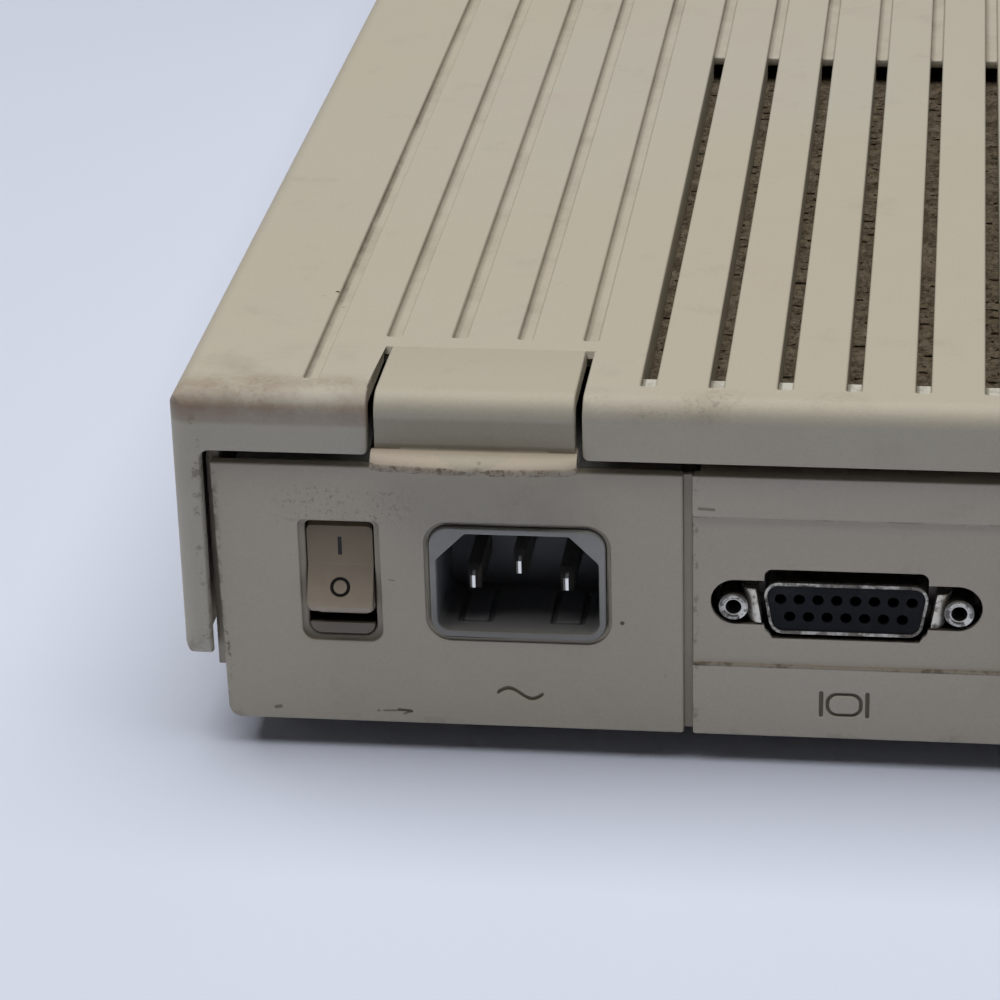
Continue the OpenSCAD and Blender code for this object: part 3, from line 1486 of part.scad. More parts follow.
module fan_frame() {
    half = fan_size / 2;
    color("#26272a") seat_in_frame() {
        difference() {
            in_depth([fan_v, fan_v + fan_depth]) round_rect([fan_u - half, fan_u + half],
                [fan_w - half, fan_w + half], 3);
            rod_in_depth(fan_u, [fan_v - over, fan_v + fan_depth + over], fan_w, fan_bore_r);
            for (a = [-1, 1], b = [-1, 1]) rod_in_depth(fan_u + a * (half - 4),
                [fan_v - over, fan_v + fan_depth + over], fan_w + b * (half - 4), 1.7);
        }
        // motor plate on three struts, with the bearing in its middle
        difference() {
            union() {
                rod_in_depth(fan_u, [fan_v + fan_depth - 2, fan_v + fan_depth], fan_w, fan_hub_r);
                for (i = [0 : 2]) rotate_about(fan_u, fan_w, 30 + i * 120)
                    block([fan_u, fan_u + fan_bore_r + 0.5], [fan_v + fan_depth - 2, fan_v + fan_depth],
                        [fan_w - 1.5, fan_w + 1.5]);
            }
            rod_in_depth(fan_u, [fan_v, fan_v + fan_depth + over], fan_w, fan_shaft_r + fit);
        }
    }
}

module fan_rotor() {
    rotor_v = [fan_v + 1, fan_v + fan_depth - 2.6];
    color("#1f2023") seat_in_frame() {
        rod_in_depth(fan_u, rotor_v, fan_w, fan_hub_r);
        rod_in_depth(fan_u, [rotor_v[1], fan_v + fan_depth], fan_w, fan_shaft_r);
        intersection() {
            rod_in_depth(fan_u, rotor_v, fan_w, rotor_tip_r);
            for (i = [0 : blade_count - 1]) rotate_about(fan_u, fan_w, i * 360 / blade_count)
                translate([fan_u, (rotor_v[0] + rotor_v[1]) / 2, fan_w + fan_hub_r - 1])
                    rotate([0, 0, 52]) translate([-0.6, -11, 0]) cube([1.2, 22, fan_bore_r]);
        }
    }
}

module speaker_frame() {
    base = wall;
    color("#4a4c4e") seat_in_frame() translate([speaker_u, speaker_v, base]) {
        // magnet, basket and rim
        rotate_extrude() polygon([
            [0, 0], [13, 0], [13, 7], [speaker_r - 4, 13], [speaker_r, 13], [speaker_r, 14.4],
            [speaker_r - 5, 14.4], [11.5, 8.4], [0, 8.4]
        ]);
    }
}

module speaker_cone() {
    color("#1c1c1d") seat_in_frame() translate([speaker_u, speaker_v, wall + 8.4]) rotate_extrude() polygon([
        [0, 0], [9, 0], [speaker_r - 6, 5.8], [speaker_r - 5, 6], [speaker_r - 3, 6],
        [speaker_r - 3, 6.6], [speaker_r - 4.8, 7.6], [speaker_r - 6.6, 6.6], [9, 0.8], [6, 3.4], [0, 4.4]
    ]);
}

// ------------ the assembly

bottom_case();
front_bezel();
rubber_feet();
drive_carriers();
top_cover();
vent_shield();
rear_latch_left();
rear_latch_right();
power_supply_case();
power_supply_cover();
power_supply_board();
power_transformer();
power_capacitors();
power_heatsinks();
power_choke();
inlet_body();
inlet_blades();
switch_body();
power_rocker();
power_lead();
port_panel();
expansion_cover();
logic_board();
processor();
rom_chips();
controller_chips();
memory_chips();
memory_sockets();
memory_modules();
expansion_slot();
clock_battery();
battery_holder();
board_capacitors();
crystal_oscillators();
video_port_shell();
video_port_insert();
drive_port_shell();
drive_port_insert();
port_jackscrews();
printer_and_modem_ports();
keyboard_port();
sound_jacks();
drive_cables();
floppy_frame();
floppy_shield();
floppy_motor_board();
floppy_spindle();
floppy_head_carriage();
floppy_guide_rods();
floppy_lead_screw();
floppy_stepper();
floppy_eject_motor();
hard_drive_casting();
hard_drive_cover();
hard_drive_board();
fan_frame();
fan_rotor();
speaker_frame();
speaker_cone();
power_led();
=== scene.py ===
# %% [markdown]
# A low, wide desktop home computer, dressed over its packed construction model. The construction
# model fixes every size and every moving body. This lesson gives each moulding its softened
# edges, its grain and its wear, and adds the small things that a construction model leaves out.

# %% The fixed frame
import json
from math import cos, pi, radians, sin
from random import Random

import bmesh
import bpy
from mathutils import Matrix, Vector

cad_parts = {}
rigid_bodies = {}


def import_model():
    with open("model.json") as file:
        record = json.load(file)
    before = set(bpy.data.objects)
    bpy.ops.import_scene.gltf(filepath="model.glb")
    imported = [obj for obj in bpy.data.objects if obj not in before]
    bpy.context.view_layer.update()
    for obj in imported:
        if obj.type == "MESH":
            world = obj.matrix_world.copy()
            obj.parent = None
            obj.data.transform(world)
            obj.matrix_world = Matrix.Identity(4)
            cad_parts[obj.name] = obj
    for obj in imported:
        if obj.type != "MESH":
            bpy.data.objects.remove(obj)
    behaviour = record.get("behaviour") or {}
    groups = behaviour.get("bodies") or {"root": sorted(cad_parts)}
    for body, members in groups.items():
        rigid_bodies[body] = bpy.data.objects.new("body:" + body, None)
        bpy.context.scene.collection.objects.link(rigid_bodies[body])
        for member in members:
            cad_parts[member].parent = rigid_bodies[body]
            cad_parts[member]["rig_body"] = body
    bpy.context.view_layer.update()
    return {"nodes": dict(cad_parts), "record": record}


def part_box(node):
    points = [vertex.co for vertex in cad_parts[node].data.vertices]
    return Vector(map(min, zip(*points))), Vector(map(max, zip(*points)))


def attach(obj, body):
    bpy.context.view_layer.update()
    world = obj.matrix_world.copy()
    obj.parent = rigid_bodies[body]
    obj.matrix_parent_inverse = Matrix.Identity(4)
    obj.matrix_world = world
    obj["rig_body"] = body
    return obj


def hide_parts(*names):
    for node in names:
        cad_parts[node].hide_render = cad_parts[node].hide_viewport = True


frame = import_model()
nodes = frame["nodes"]

# %% [markdown]
# The computer is easiest to describe from one of its own corners: how far across from the power
# supply's side, how far in from the lid's rear face, and how high above the underside, all in
# millimetres. One function turns such a place into the frame's metres.

# %% Places on the case
MM = 0.001
lid_low, lid_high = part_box("top_cover")
tray_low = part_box("bottom_case")[0]
CASE_W = (lid_high.x - lid_low.x) / MM
CASE_D = (lid_high.y - lid_low.y) / MM
CASE_H = (lid_high.z - tray_low.z) / MM


def at(across, inward, up):
    """A place on the case, in millimetres from its rear corner on the power supply's side."""
    return Vector((lid_high.x - across * MM, lid_high.y - inward * MM, tray_low.z + up * MM))


def on_case(point):
    """The same place the other way round: from metres in the frame to millimetres on the case."""
    corner = at(0, 0, 0)
    return (corner.x - point.x) / MM, (corner.y - point.y) / MM, (point.z - corner.z) / MM


def box_on_case(node):
    """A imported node's limits across, inward and up, in millimetres on the case."""
    low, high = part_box(node)
    return [tuple(sorted(limits)) for limits in zip(on_case(low), on_case(high))]


def put(name, data):
    """Adds one object that shows some data to the scene."""
    thing = bpy.data.objects.new(name, data)
    bpy.context.scene.collection.objects.link(thing)
    return thing


print(f"case: {CASE_W:.0f} x {CASE_D:.0f} x {CASE_H:.0f} mm above its feet")

# %% [markdown]
# A camera that stands close and low behind the power supply's corner, with a long lens. It is
# turned about the upright first, then tipped down, then rolled by the small amount that a hand
# adds. Turning the steps into matrices keeps each angle readable.

# %% Camera
CAMERA_PLACE = at(112.9, -469.8, 260.2)
CAMERA_HEADING, CAMERA_TILT, CAMERA_ROLL = 187.72, 64.97, -1.59
CAMERA_LENS = 128.07

camera_data = bpy.data.cameras.new("camera")
camera_data.lens = CAMERA_LENS
camera_data.sensor_width = 36
camera_data.clip_start = 0.01
camera = put("camera", camera_data)
camera.matrix_world = (
    Matrix.Translation(CAMERA_PLACE)
    @ Matrix.Rotation(radians(CAMERA_HEADING), 4, "Z")
    @ Matrix.Rotation(radians(CAMERA_TILT), 4, "X")
    @ Matrix.Rotation(radians(CAMERA_ROLL), 4, "Z")
)
bpy.context.scene.camera = camera
print("camera stands", [round(c, 3) for c in camera.location])

# %% [markdown]
# A shader graph is easier to read as arithmetic. Signal wraps one output socket, and its
# operators add the Math nodes. Recipe owns one material and adds every other kind of node
# through a single method: settings first, then the values or links of the sockets. A tint is
# three linear numbers wherever it is written.

# %% Shader arithmetic
def operator(operation):
    """A method that adds one Math node to the recipe and hands back its signal."""
    return lambda self, *others: self.recipe.math(operation, self, *others)


class Signal:
    """One output socket of a recipe, ready for arithmetic."""

    def __init__(self, recipe, socket):
        self.recipe, self.socket = recipe, socket

    __add__ = __radd__ = operator("ADD")
    __mul__ = __rmul__ = operator("MULTIPLY")
    __sub__, __truediv__, __pow__ = operator("SUBTRACT"), operator("DIVIDE"), operator("POWER")
    abs, least, wrap = operator("ABSOLUTE"), operator("MINIMUM"), operator("FRACT")

    def __rsub__(self, other):
        return self.recipe.math("SUBTRACT", other, self)

    def clamp(self):
        return self.recipe.math("ADD", self, 0.0, clamp=True)

    def ridge(self):
        """A triangle wave: 1 at whole numbers, 0 halfway between them."""
        return (self.wrap() - 0.5).abs() * 2

    def above(self, start, end):
        """0 below start, 1 over end, and a smooth step between them."""
        return self.recipe.add(
            "ShaderNodeMapRange", {"interpolation_type": "SMOOTHSTEP", "clamp": True},
            {"Value": self, "From Min": start, "From Max": end},
        )

    def below(self, start, end):
        return 1 - self.above(start, end)

    def within(self, low, high, soft):
        """1 between two values, 0 outside them, with soft ends of a given width."""
        return self.above(low - soft, low) * self.below(high, high + soft)


class Recipe:
    """One node material: shader arithmetic, then one call that sets its surface."""

    def __init__(self, name):
        self.material = bpy.data.materials.new(name)
        self.material.use_nodes = True
        self.tree = self.material.node_tree
        self.tree.nodes.clear()
        self.place = self.add("ShaderNodeTexCoord", {}, {}, "Object")
        split = self.node("ShaderNodeSeparateXYZ", {}, {"Vector": self.place})
        x, y, z = (Signal(self, split.outputs[i]) for i in range(3))
        corner = at(0, 0, 0)
        self.axes = (corner.x - x) / MM, (corner.y - y) / MM, (z - corner.z) / MM
        self.across, self.inward, self.up = self.axes

    def node(self, kind, settings, sockets):
        made = self.tree.nodes.new(kind)
        for key, value in settings.items():
            setattr(made, key, value)
        for key, value in sockets.items():
            self.fill(made.inputs[key], value)
        return made

    def fill(self, socket, value):
        """Links a signal to a socket, or writes a plain value there."""
        if isinstance(value, Signal):
            self.tree.links.new(value.socket, socket)
        else:
            socket.default_value = (*value, 1.0) if socket.type == "RGBA" else value

    def add(self, kind, settings, sockets, output=0):
        return Signal(self, self.node(kind, settings, sockets).outputs[output])

    def math(self, operation, *values, clamp=False):
        return self.add("ShaderNodeMath", {"operation": operation, "use_clamp": clamp},
                        dict(enumerate(values)))

    def mix(self, share, low, high):
        """Mixes two colours."""
        return self.add("ShaderNodeMix", {"data_type": "RGBA"}, {0: share, 6: low, 7: high}, 2)

    def coats(self, colour, *layers):
        """Lays coats over a colour, each written as a share and a tint."""
        for share, tint in layers:
            colour = self.mix(share, colour, tint)
        return colour

    def stretched(self, scale):
        return self.add("ShaderNodeMapping", {}, {"Vector": self.place, "Scale": scale})

    def noise(self, scale, detail, rough, warp=0.0, place=None):
        return self.add("ShaderNodeTexNoise", {}, {
            "Vector": place or self.place, "Scale": scale, "Detail": detail,
            "Roughness": rough, "Distortion": warp})

    def cells(self, scale, jitter=1.0, place=None, metric="EUCLIDEAN"):
        return self.add("ShaderNodeTexVoronoi", {"distance": metric}, {
            "Vector": place or self.place, "Scale": scale, "Randomness": jitter})

    def zone(self, limits, *soft):
        """1 inside an area of a rear face, which is given by its limits across and up."""
        return self.across.within(*limits[0], soft[0]) * self.up.within(*limits[1], soft[-1])

    def stroke(self, start, end, half, soft):
        """A soft line on a rear face, between two points given across and up."""
        reach = (end[0] - start[0], end[1] - start[1])
        length2 = reach[0] ** 2 + reach[1] ** 2
        a, b = self.across - start[0], self.up - start[1]
        share = ((a * reach[0] + b * reach[1]) / length2).clamp()
        off_a, off_b = a - share * reach[0], b - share * reach[1]
        return ((off_a * off_a + off_b * off_b) ** 0.5).below(half, half + soft)

    def bump(self, *relief):
        """A bump from a height, a strength, a distance and perhaps a bump that lies under it."""
        sockets = zip(("Height", "Strength", "Distance", "Normal"), relief)
        return self.add("ShaderNodeBump", {}, dict(sockets))

    def surface(self, colour, rough, relief=None, **more):
        """Finishes the material; an underscore in the name of a further socket is a space."""
        sockets = {"Base Color": colour, "Roughness": rough}
        sockets.update((name.replace("_", " "), value) for name, value in more.items())
        if relief:
            sockets["Normal"] = self.bump(*relief)
        shader = self.add("ShaderNodeBsdfPrincipled", {}, sockets)
        self.node("ShaderNodeOutputMaterial", {}, {"Surface": shader})
        return self.material


def rgb(red, green, blue):
    """An eight-bit screen colour as the linear colour that shaders expect."""
    def linear(c):
        c = c / 255
        return c / 12.92 if c <= 0.04045 else ((c + 0.055) / 1.055) ** 2.4
    return linear(red), linear(green), linear(blue)


print("shader arithmetic is ready")

# %% [markdown]
# The table is a plain pale sheet with a faint gloss. One large soft lamp hangs over the case, so
# the lid is bright and the upright rear faces sit at less than half of that; a cool, even world
# fills the shadows, and the dark band under the rear panels comes from the feet alone.

# %% Table and light
TABLE_SIZE = 6.0
TABLE_TINT = rgb(221, 228, 247)
SKY_TINT = rgb(226, 233, 245)


def build_table():
    shape = bmesh.new()
    bmesh.ops.create_grid(shape, x_segments=1, y_segments=1, size=TABLE_SIZE / 2)
    mesh = bpy.data.meshes.new("table")
    shape.to_mesh(mesh)
    shape.free()
    table = put("table", mesh)
    recipe = Recipe("table")
    mesh.materials.append(recipe.surface(TABLE_TINT, 0.42))


def lamp(name, place, target, size, watts, tint):
    data = bpy.data.lights.new(name, "AREA")
    data.shape, (data.size, data.size_y) = "RECTANGLE", size
    data.energy, data.color = watts, tint
    light = put(name, data)
    aim = (Vector(target) - Vector(place)).to_track_quat("-Z", "Y")
    light.matrix_world = Matrix.Translation(place) @ aim.to_matrix().to_4x4()


def build_sky(tint, strength):
    world = bpy.data.worlds.new("sky")
    world.use_nodes = True
    background = world.node_tree.nodes["Background"]
    background.inputs["Color"].default_value = (*tint, 1.0)
    background.inputs["Strength"].default_value = strength
    bpy.context.scene.world = world


build_table()
build_sky(SKY_TINT, 0.02)
lamp("overhead_lamp", (0.18, 0.06, 1.5), (0.05, 0.05, 0.0), (1.6, 2.1), 31.5, (1.0, 0.985, 0.96))
bpy.context.scene.view_settings.view_transform = "Standard"
print("table and light are set")


# %% [markdown]
# A moulding never has a true corner: the tool leaves a small radius that catches the light. The
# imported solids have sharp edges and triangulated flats, so each one is copied first. A flat with
# holes cannot be one clean face, so planes are found that pass through the middle of the holes,
# the copy is cut there, and only then are its triangles merged back into flat faces.

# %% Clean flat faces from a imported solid
from mathutils.bvhtree import BVHTree
from mathutils.kdtree import KDTree

WELD = 0.000002
FLAT = radians(0.4)
HOLE_EDGE = 0.3


def islands(items, neighbours):
    """Groups of items that hang together through their neighbours, in the items' own order."""
    seen, groups = set(), []
    for item in items:
        stack, group = [item], []
        while stack:
            one = stack.pop()
            if one not in seen:
                seen.add(one)
                group.append(one)
                stack.extend(neighbours(one))
        if group:
            groups.append(group)
    return groups


def flat_regions(shape):
    """Groups of neighbouring faces that lie in one plane."""
    def in_plane(face):
        return [other for edge in face.edges
                if len(edge.link_faces) == 2 and edge.calc_face_angle(9) < FLAT
                for other in edge.link_faces]
    return islands(shape.faces, in_plane)


def hole_ranges(region):
    """The range on each axis of every hole in one flat region."""
    members, joined = set(region), {}
    for face in region:
        for edge in face.edges:
            if not set(edge.link_faces) <= members:
                for vert in edge.verts:
                    joined.setdefault(vert, []).append(edge)
    loops = islands(list(joined), lambda vert: [edge.other_vert(vert) for edge in joined[vert]])
    boxes = [[(min(c), max(c)) for c in zip(*(vert.co for vert in loop))] for loop in loops]
    boxes.sort(key=lambda box: sum(high - low for low, high in box))
    return boxes[:-1]


def is_cut(hole, axis, value):
    """Whether a plane passes through the middle part of a hole."""
    axes, box = hole
    low, high = box[axis]
    edge = HOLE_EDGE * (high - low)
    return axis in axes and low + edge < value < high - edge


def cutting_planes(shape):
    """A short list of (axis, value) planes that passes through the middle of every hole."""
    holes = []
    for region in flat_regions(shape):
        if len(region) > 3:
            normal = region[0].normal
            axes = [i for i in range(3) if abs(normal[i]) < 0.3]
            holes += [(axes, box) for box in hole_ranges(region)]
    planes = []
    while holes:
        tries = [(axis, sum(box[axis]) / 2) for axes, box in holes for axis in axes]
        hits = [sum(is_cut(hole, *plane) for hole in holes) for plane in tries]
        most = max(hits, default=0)
        if not most:
            break
        plane = tries[hits.index(most)]
        planes.append(plane)
        holes = [hole for hole in holes if not is_cut(hole, *plane)]
    return planes


def packed_shape(node):
    """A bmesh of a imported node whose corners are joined."""
    shape = bmesh.new()
    shape.from_mesh(nodes[node].data)
    bmesh.ops.remove_doubles(shape, verts=shape.verts, dist=WELD)
    return shape


def clean_copy(node):
    """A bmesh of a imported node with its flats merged, split only where its holes need it."""
    shape = packed_shape(node)
    kept = shape.edges.layers.int.new("kept")
    planes = cutting_planes(shape)
    for axis, value in planes:
        normal = Vector([float(i == axis) for i in range(3)])
        cut = bmesh.ops.bisect_plane(shape, geom=shape.verts[:] + shape.edges[:] + shape.faces[:],
                                     dist=WELD, plane_co=normal * value, plane_no=normal)
        for item in cut["geom_cut"]:
            if isinstance(item, bmesh.types.BMEdge):
                item[kept] = 1
    merge = [edge for edge in shape.edges if not edge[kept]]
    bmesh.ops.dissolve_limit(shape, angle_limit=FLAT, verts=shape.verts, edges=merge,
                             delimit={"NORMAL"})
    return shape, len(planes)


print("a packed solid can be copied with clean flats")

# %% [markdown]
# Then every sharp edge gets a rolled edge of its own size. An edge next to a thin wall or a short
# neighbour takes a smaller radius, written as a bevel weight, so nothing overlaps. Where two
# rolled edges meet at a sliver and throw a point too far, the edges near that point are left
# sharp, and the bevel is tried again. Weighted normals keep the flats flat.

# %% Softened mouldings
SHARP = radians(28)
FACE_ROOM, EDGE_ROOM = 0.42, 0.45
STRAY = 0.45
STRAY_REACH = range(5, 17, 2)


def roll_sizes(shape, radius, keep_sharp):
    """Writes a bevel weight on every sharp edge: its share of the full radius."""
    weight = shape.edges.layers.float.new("bevel_weight_edge")
    for edge in shape.edges:
        if len(edge.link_faces) != 2 or edge.calc_face_angle(0) < SHARP:
            continue
        middle = on_case((edge.verts[0].co + edge.verts[1].co) / 2)
        if any(all(low < c < high for c, (low, high) in zip(middle, box)) for box in keep_sharp):
            continue
        room = radius
        for loop in edge.link_loops:
            room = min(room, FACE_ROOM * loop.face.calc_area() / edge.calc_length() / MM)
            here = (edge.verts[1].co - edge.verts[0].co).normalized()
            for other in (loop.link_loop_next.edge, loop.link_loop_prev.edge):
                along = (other.verts[1].co - other.verts[0].co).normalized()
                turn = here.cross(along).length
                if turn > 0.5:
                    room = min(room, EDGE_ROOM * other.calc_length() * turn / MM)
        edge[weight] = room / radius


def stray_points(piece, tree, limit):
    """Points of a rolled-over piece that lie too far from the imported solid's surface."""
    bpy.context.view_layer.update()
    rolled = piece.evaluated_get(bpy.context.evaluated_depsgraph_get()).to_mesh()
    return [vert.co.copy() for vert in rolled.vertices if tree.find_nearest(vert.co)[3] > limit]


def roll_edges(piece, radius, **settings):
    """Adds the modifier that rolls a piece's edges over."""
    bevel = piece.modifiers.new("rolled_edges", "BEVEL")
    for key, value in {"width": radius * MM, "segments": 2, "profile": 0.5, **settings}.items():
        setattr(bevel, key, value)


def softened(node, radius, keep_sharp):
    """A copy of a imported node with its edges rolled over, riding where the node rides."""
    source = nodes[node]
    shape, cuts = clean_copy(node)
    tree = BVHTree.FromBMesh(shape)
    roll_sizes(shape, radius, keep_sharp)
    mesh = bpy.data.meshes.new(node + "_moulding")
    shape.to_mesh(mesh)
    piece = put(node + "_moulding", mesh)
    roll_edges(piece, radius, limit_method="WEIGHT", use_clamp_overlap=False, miter_outer="MITER_ARC")
    shape.verts.ensure_lookup_table()
    lookup = KDTree(len(shape.verts))
    for vert in shape.verts:
        lookup.insert(vert.co, vert.index)
    lookup.balance()
    weight = shape.edges.layers.float["bevel_weight_edge"]
    mended = 0
    strays = stray_points(piece, tree, STRAY * radius * MM)
    for reach in STRAY_REACH:
        if not strays:
            break
        for point in strays:
            for _, index, _ in lookup.find_n(point, reach):
                for edge in shape.verts[index].link_edges:
                    mended += edge[weight] > 0
                    edge[weight] = 0
        shape.to_mesh(mesh)
        strays = stray_points(piece, tree, STRAY * radius * MM)
    shape.free()
    mesh.shade_smooth()
    weights = piece.modifiers.new("flat_flats", "WEIGHTED_NORMAL")
    weights.keep_sharp = True
    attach(piece, source["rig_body"])
    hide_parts(node)
    print(node, "cuts", cuts, "faces", len(mesh.polygons), "left sharp", mended, "strays", len(strays))
    return piece


pieces = {}
SOFT_EDGES = {
    "top_cover": 0.35, "rear_latch_left": 0.4, "rear_latch_right": 0.4, "power_supply_case": 0.35,
    "port_panel": 0.3, "front_bezel": 0.4, "bottom_case": 0.3, "inlet_body": 0.25,
    "expansion_cover": 0.3,
}
TONGUE_ROOTS = [((a, b), (17.5, 20.5), (40, 56)) for a, b in ((30.2, 61.2), (248.8, 279.8))]
BEZEL_FACE = ((4, CASE_W - 4), (CASE_D - 9, CASE_D + 1), (2, box_on_case("front_bezel")[2][1] - 1.5))
PORT_OPENINGS = ((79, CASE_W - 4), (0, 6), (13, 36))
for node, radius in SOFT_EDGES.items():
    sharp_places = {"front_bezel": [BEZEL_FACE], "port_panel": [PORT_OPENINGS]}.get(node, TONGUE_ROOTS)
    pieces[node] = softened(node, radius, sharp_places)

# %% [markdown]
# The case is one warm grey plastic that has yellowed unevenly. Its recipe layers, from the bottom
# up: broad yellowing, a finer mottle, dirt and painted shade where a mask says so, and small specks.
# The moulds were spark-eroded, so the surface has a fine sandy grain that softens every highlight.

# %% Aged plastic
PUTTY = (0.485, 0.456, 0.383)
PUTTY_YELLOW = (0.490, 0.440, 0.338)
PUTTY_PINK = (0.468, 0.413, 0.352)
# A dark brown for real dirt and specks, also used as painted shade in recesses.
GRIME_AND_SHADE = (0.115, 0.088, 0.058)
DUST = (0.30, 0.27, 0.22)
GRAIN_SCALE = 2400
GROOVE_SIDE, GROOVE_PITCH = 19.5, 10.0
SWITCH_WINDOW = ((18.2, 30.8), (13.1, 34.2))
INLET_RECESS = ((35.9, 66.7), (13.0, 35.7))
SUPPLY_MARK = ((46, 57), (3.6, 8.0))
PORT_MARK = ((95, 105), (2.8, 8.9))
ENGRAVED = (1.72, 1.9)


def aged_plastic(name, tint=PUTTY, masks=None, mottle=0.45, specks=0.35, dust_tint=DUST):
    """A yellowed moulding; masks(recipe) gives the shares of dirt with painted shade, and of dust, for
    its own places.
    """
    recipe = Recipe(name)
    broad = recipe.noise(7, 3, 0.55).above(0.38, 0.66)
    patch = recipe.noise(46, 5, 0.62, 0.4)
    sandy = recipe.noise(GRAIN_SCALE, 2, 0.6)
    grime_and_shade, dust = masks(recipe) if masks else (0.0, 0.0)
    smudge = recipe.noise(90, 6, 0.7).above(0.56, 0.74) * 0.10
    grime_and_shade = (smudge + grime_and_shade).clamp()
    clumps = recipe.noise(25, 4, 0.6).above(0.74 - specks * 0.4, 0.78 - specks * 0.4)
    dots = recipe.cells(380).below(0.112, 0.16) * clumps
    colour = recipe.coats(
        tint, (broad * mottle * 1.3, PUTTY_YELLOW), (patch.above(0.5, 0.72) * mottle, PUTTY_PINK),
        (grime_and_shade, GRIME_AND_SHADE), (dots, GRIME_AND_SHADE), (dust, dust_tint))
    toned = recipe.add("ShaderNodeVectorMath", {"operation": "SCALE"},
                       {0: colour, "Scale": sandy * 0.16 + 0.92})
    waves = recipe.bump(recipe.noise(420, 3, 0.6), 0.10, 0.0003)
    return recipe.surface(toned, (patch * 0.18 + 0.46 + grime_and_shade * 0.2).clamp(),
                          (sandy, 0.24, 0.00012, waves), Specular_IOR_Level=0.38)


def scuffed_rim(recipe, soiled=0.5):
    """Broken, sandy scuffs where the top rolls over to the rear, in clumps of uneven strength."""
    across, inward, up = recipe.axes
    rim = inward.within(0.4, 4.6, 1.6) * up.above(51.0, 53.2)
    clumps = recipe.noise(26, 4, 0.6).above(0.56 - soiled * 0.22, 0.74 - soiled * 0.22)
    crumbs = recipe.noise(1150, 5, 0.8).above(0.53, 0.59)
    film = recipe.noise(150, 5, 0.7).above(0.36, 0.72) * 0.34
    haze = recipe.noise(95, 5, 0.7).above(0.34, 0.62)
    wider = inward.within(-0.5, 5.5, 3.0) * up.above(49.0, 53.0)
    corner = across.below(18, 60) * wider * haze * (crumbs * 0.12 + 0.42)
    return rim * clumps * (crumbs * 0.40 + film), corner


def lid_masks(recipe):
    """Scuffed rounded edges, grooves with dirt and painted shade along one wall, and painted shade down
    the vent slots.
    """
    across, inward, up = recipe.axes
    near = across.least(CASE_W - across).least(inward)
    soiled_corner = across.below(14, 34) * inward.below(9, 24) * up.above(50, 53)
    brown = recipe.noise(75, 6, 0.68).above(0.42, 0.74) * 0.26
    low_edge = up.below(12, 16) * recipe.noise(160, 6, 0.7).above(0.46, 0.62)
    strip = (across.within(3.4, 4.3, 0.5) * up.below(50, 52)
             * recipe.noise(330, 5, 0.75).above(0.52, 0.60))
    floor = (up.within(53.7, 54.7, 0.25) * near.above(6.2, 7.4)
             * inward.below(CASE_D - 23, CASE_D - 20))
    first = across.within(19.2, 20.1, 0.3) * up.below(54.6, 54.95) * inward.within(20, 120, 30)
    streaks = recipe.noise(45, 5, 0.7).above(0.42, 0.6)
    stale = recipe.noise(60, 5, 0.7).above(0.40, 0.75)
    rear_stain = inward.below(2, 4) * up.within(40, 52, 2) * across.below(24, 44) * 0.05
    # foot is painted shade along the foot of each groove's left wall; stale and the constant darken the
    # floors as dirt.
    foot = ((across - GROOVE_SIDE) / GROOVE_PITCH).wrap().below(0.045, 0.10)
    scuffs, haze = scuffed_rim(recipe)
    grime_and_shade = (scuffs + soiled_corner * brown + low_edge * 0.4 + strip * 0.5 + rear_stain
             + floor * (stale * 0.20 + foot * 0.30 + 0.06) + first * streaks * 0.26)
    # Painted shade down the vent slots: their walls below the top are darkened.
    vent_wall = up.below(53.0, 53.9) * inward.within(8.0, 164.0, 0.2)
    slot_wall_shade = vent_wall * (recipe.noise(200, 5, 0.7) * 0.5 + 0.45) * across.within(66, 246, 1)
    under_rim = (up.within(50.4, 52.7, 0.9) * inward.below(2.2, 3.6)
                 * across.below(31, 60) * 0.42)
    return (grime_and_shade + slot_wall_shade * 0.62).clamp(), (haze + under_rim).clamp()


def supply_masks(recipe):
    """Painted shade in the recesses round the switch and the inlet, a scratch near the bottom, and a
    dirty left edge.
    """
    across, inward, up = recipe.axes
    broken = recipe.noise(420, 5, 0.75).above(0.50, 0.57)
    beside_edge = across.below(5.9, 6.8) * up.below(41, 42.5) * broken
    bottom = up.below(0.7, 1.6) * recipe.noise(150, 6, 0.7).above(0.50, 0.62)
    over_switch = (across.within(18, 33, 5) * up.within(34.5, 38.5, 2.0)
                   * recipe.noise(1300, 5, 0.8).above(0.55, 0.60))
    film = up.above(35.5, 42) * recipe.noise(40, 5, 0.65).above(0.38, 0.7) * 0.10
    # Painted shade in the hollow round the switch, stronger towards its bottom, and in the inlet's
    # recess.
    low_dish_shade = up.below(14.5, 17.0) * 0.34 + 0.34
    dish_shade = recipe.zone(SWITCH_WINDOW, 0.4, 0.3) * inward.above(1.63, 1.85) * low_dish_shade
    socket = recipe.zone(INLET_RECESS, 0.5) * inward.above(1.66, 1.9) * 0.25
    faint = recipe.noise(700, 4, 0.7).above(0.40, 0.52)
    scratch = (recipe.stroke((29.4, 2.0), (34.3, 2.25), 0.05, 0.22) * faint
               + recipe.stroke((32.6, 2.35), (34.5, 2.1), 0.12, 0.2)
               + recipe.stroke((33.4, 1.65), (34.6, 2.1), 0.08, 0.2)
               + recipe.stroke((6.6, 14.5), (7.1, 6.0), 0.10, 0.25) * broken
               + recipe.stroke((13.6, 2.0), (14.3, 2.15), 0.14, 0.3)
               + recipe.stroke((31.9, 24.3), (32.7, 24.2), 0.03, 0.16) * 0.7)
    wave = recipe.zone(SUPPLY_MARK, 0.3) * inward.above(*ENGRAVED)
    grime_and_shade = (beside_edge * 0.55 + bottom * 0.25 + over_switch * 0.42 + film + dish_shade + socket
             + scratch * 0.72 + wave * 0.74)
    return grime_and_shade.clamp(), 0.0


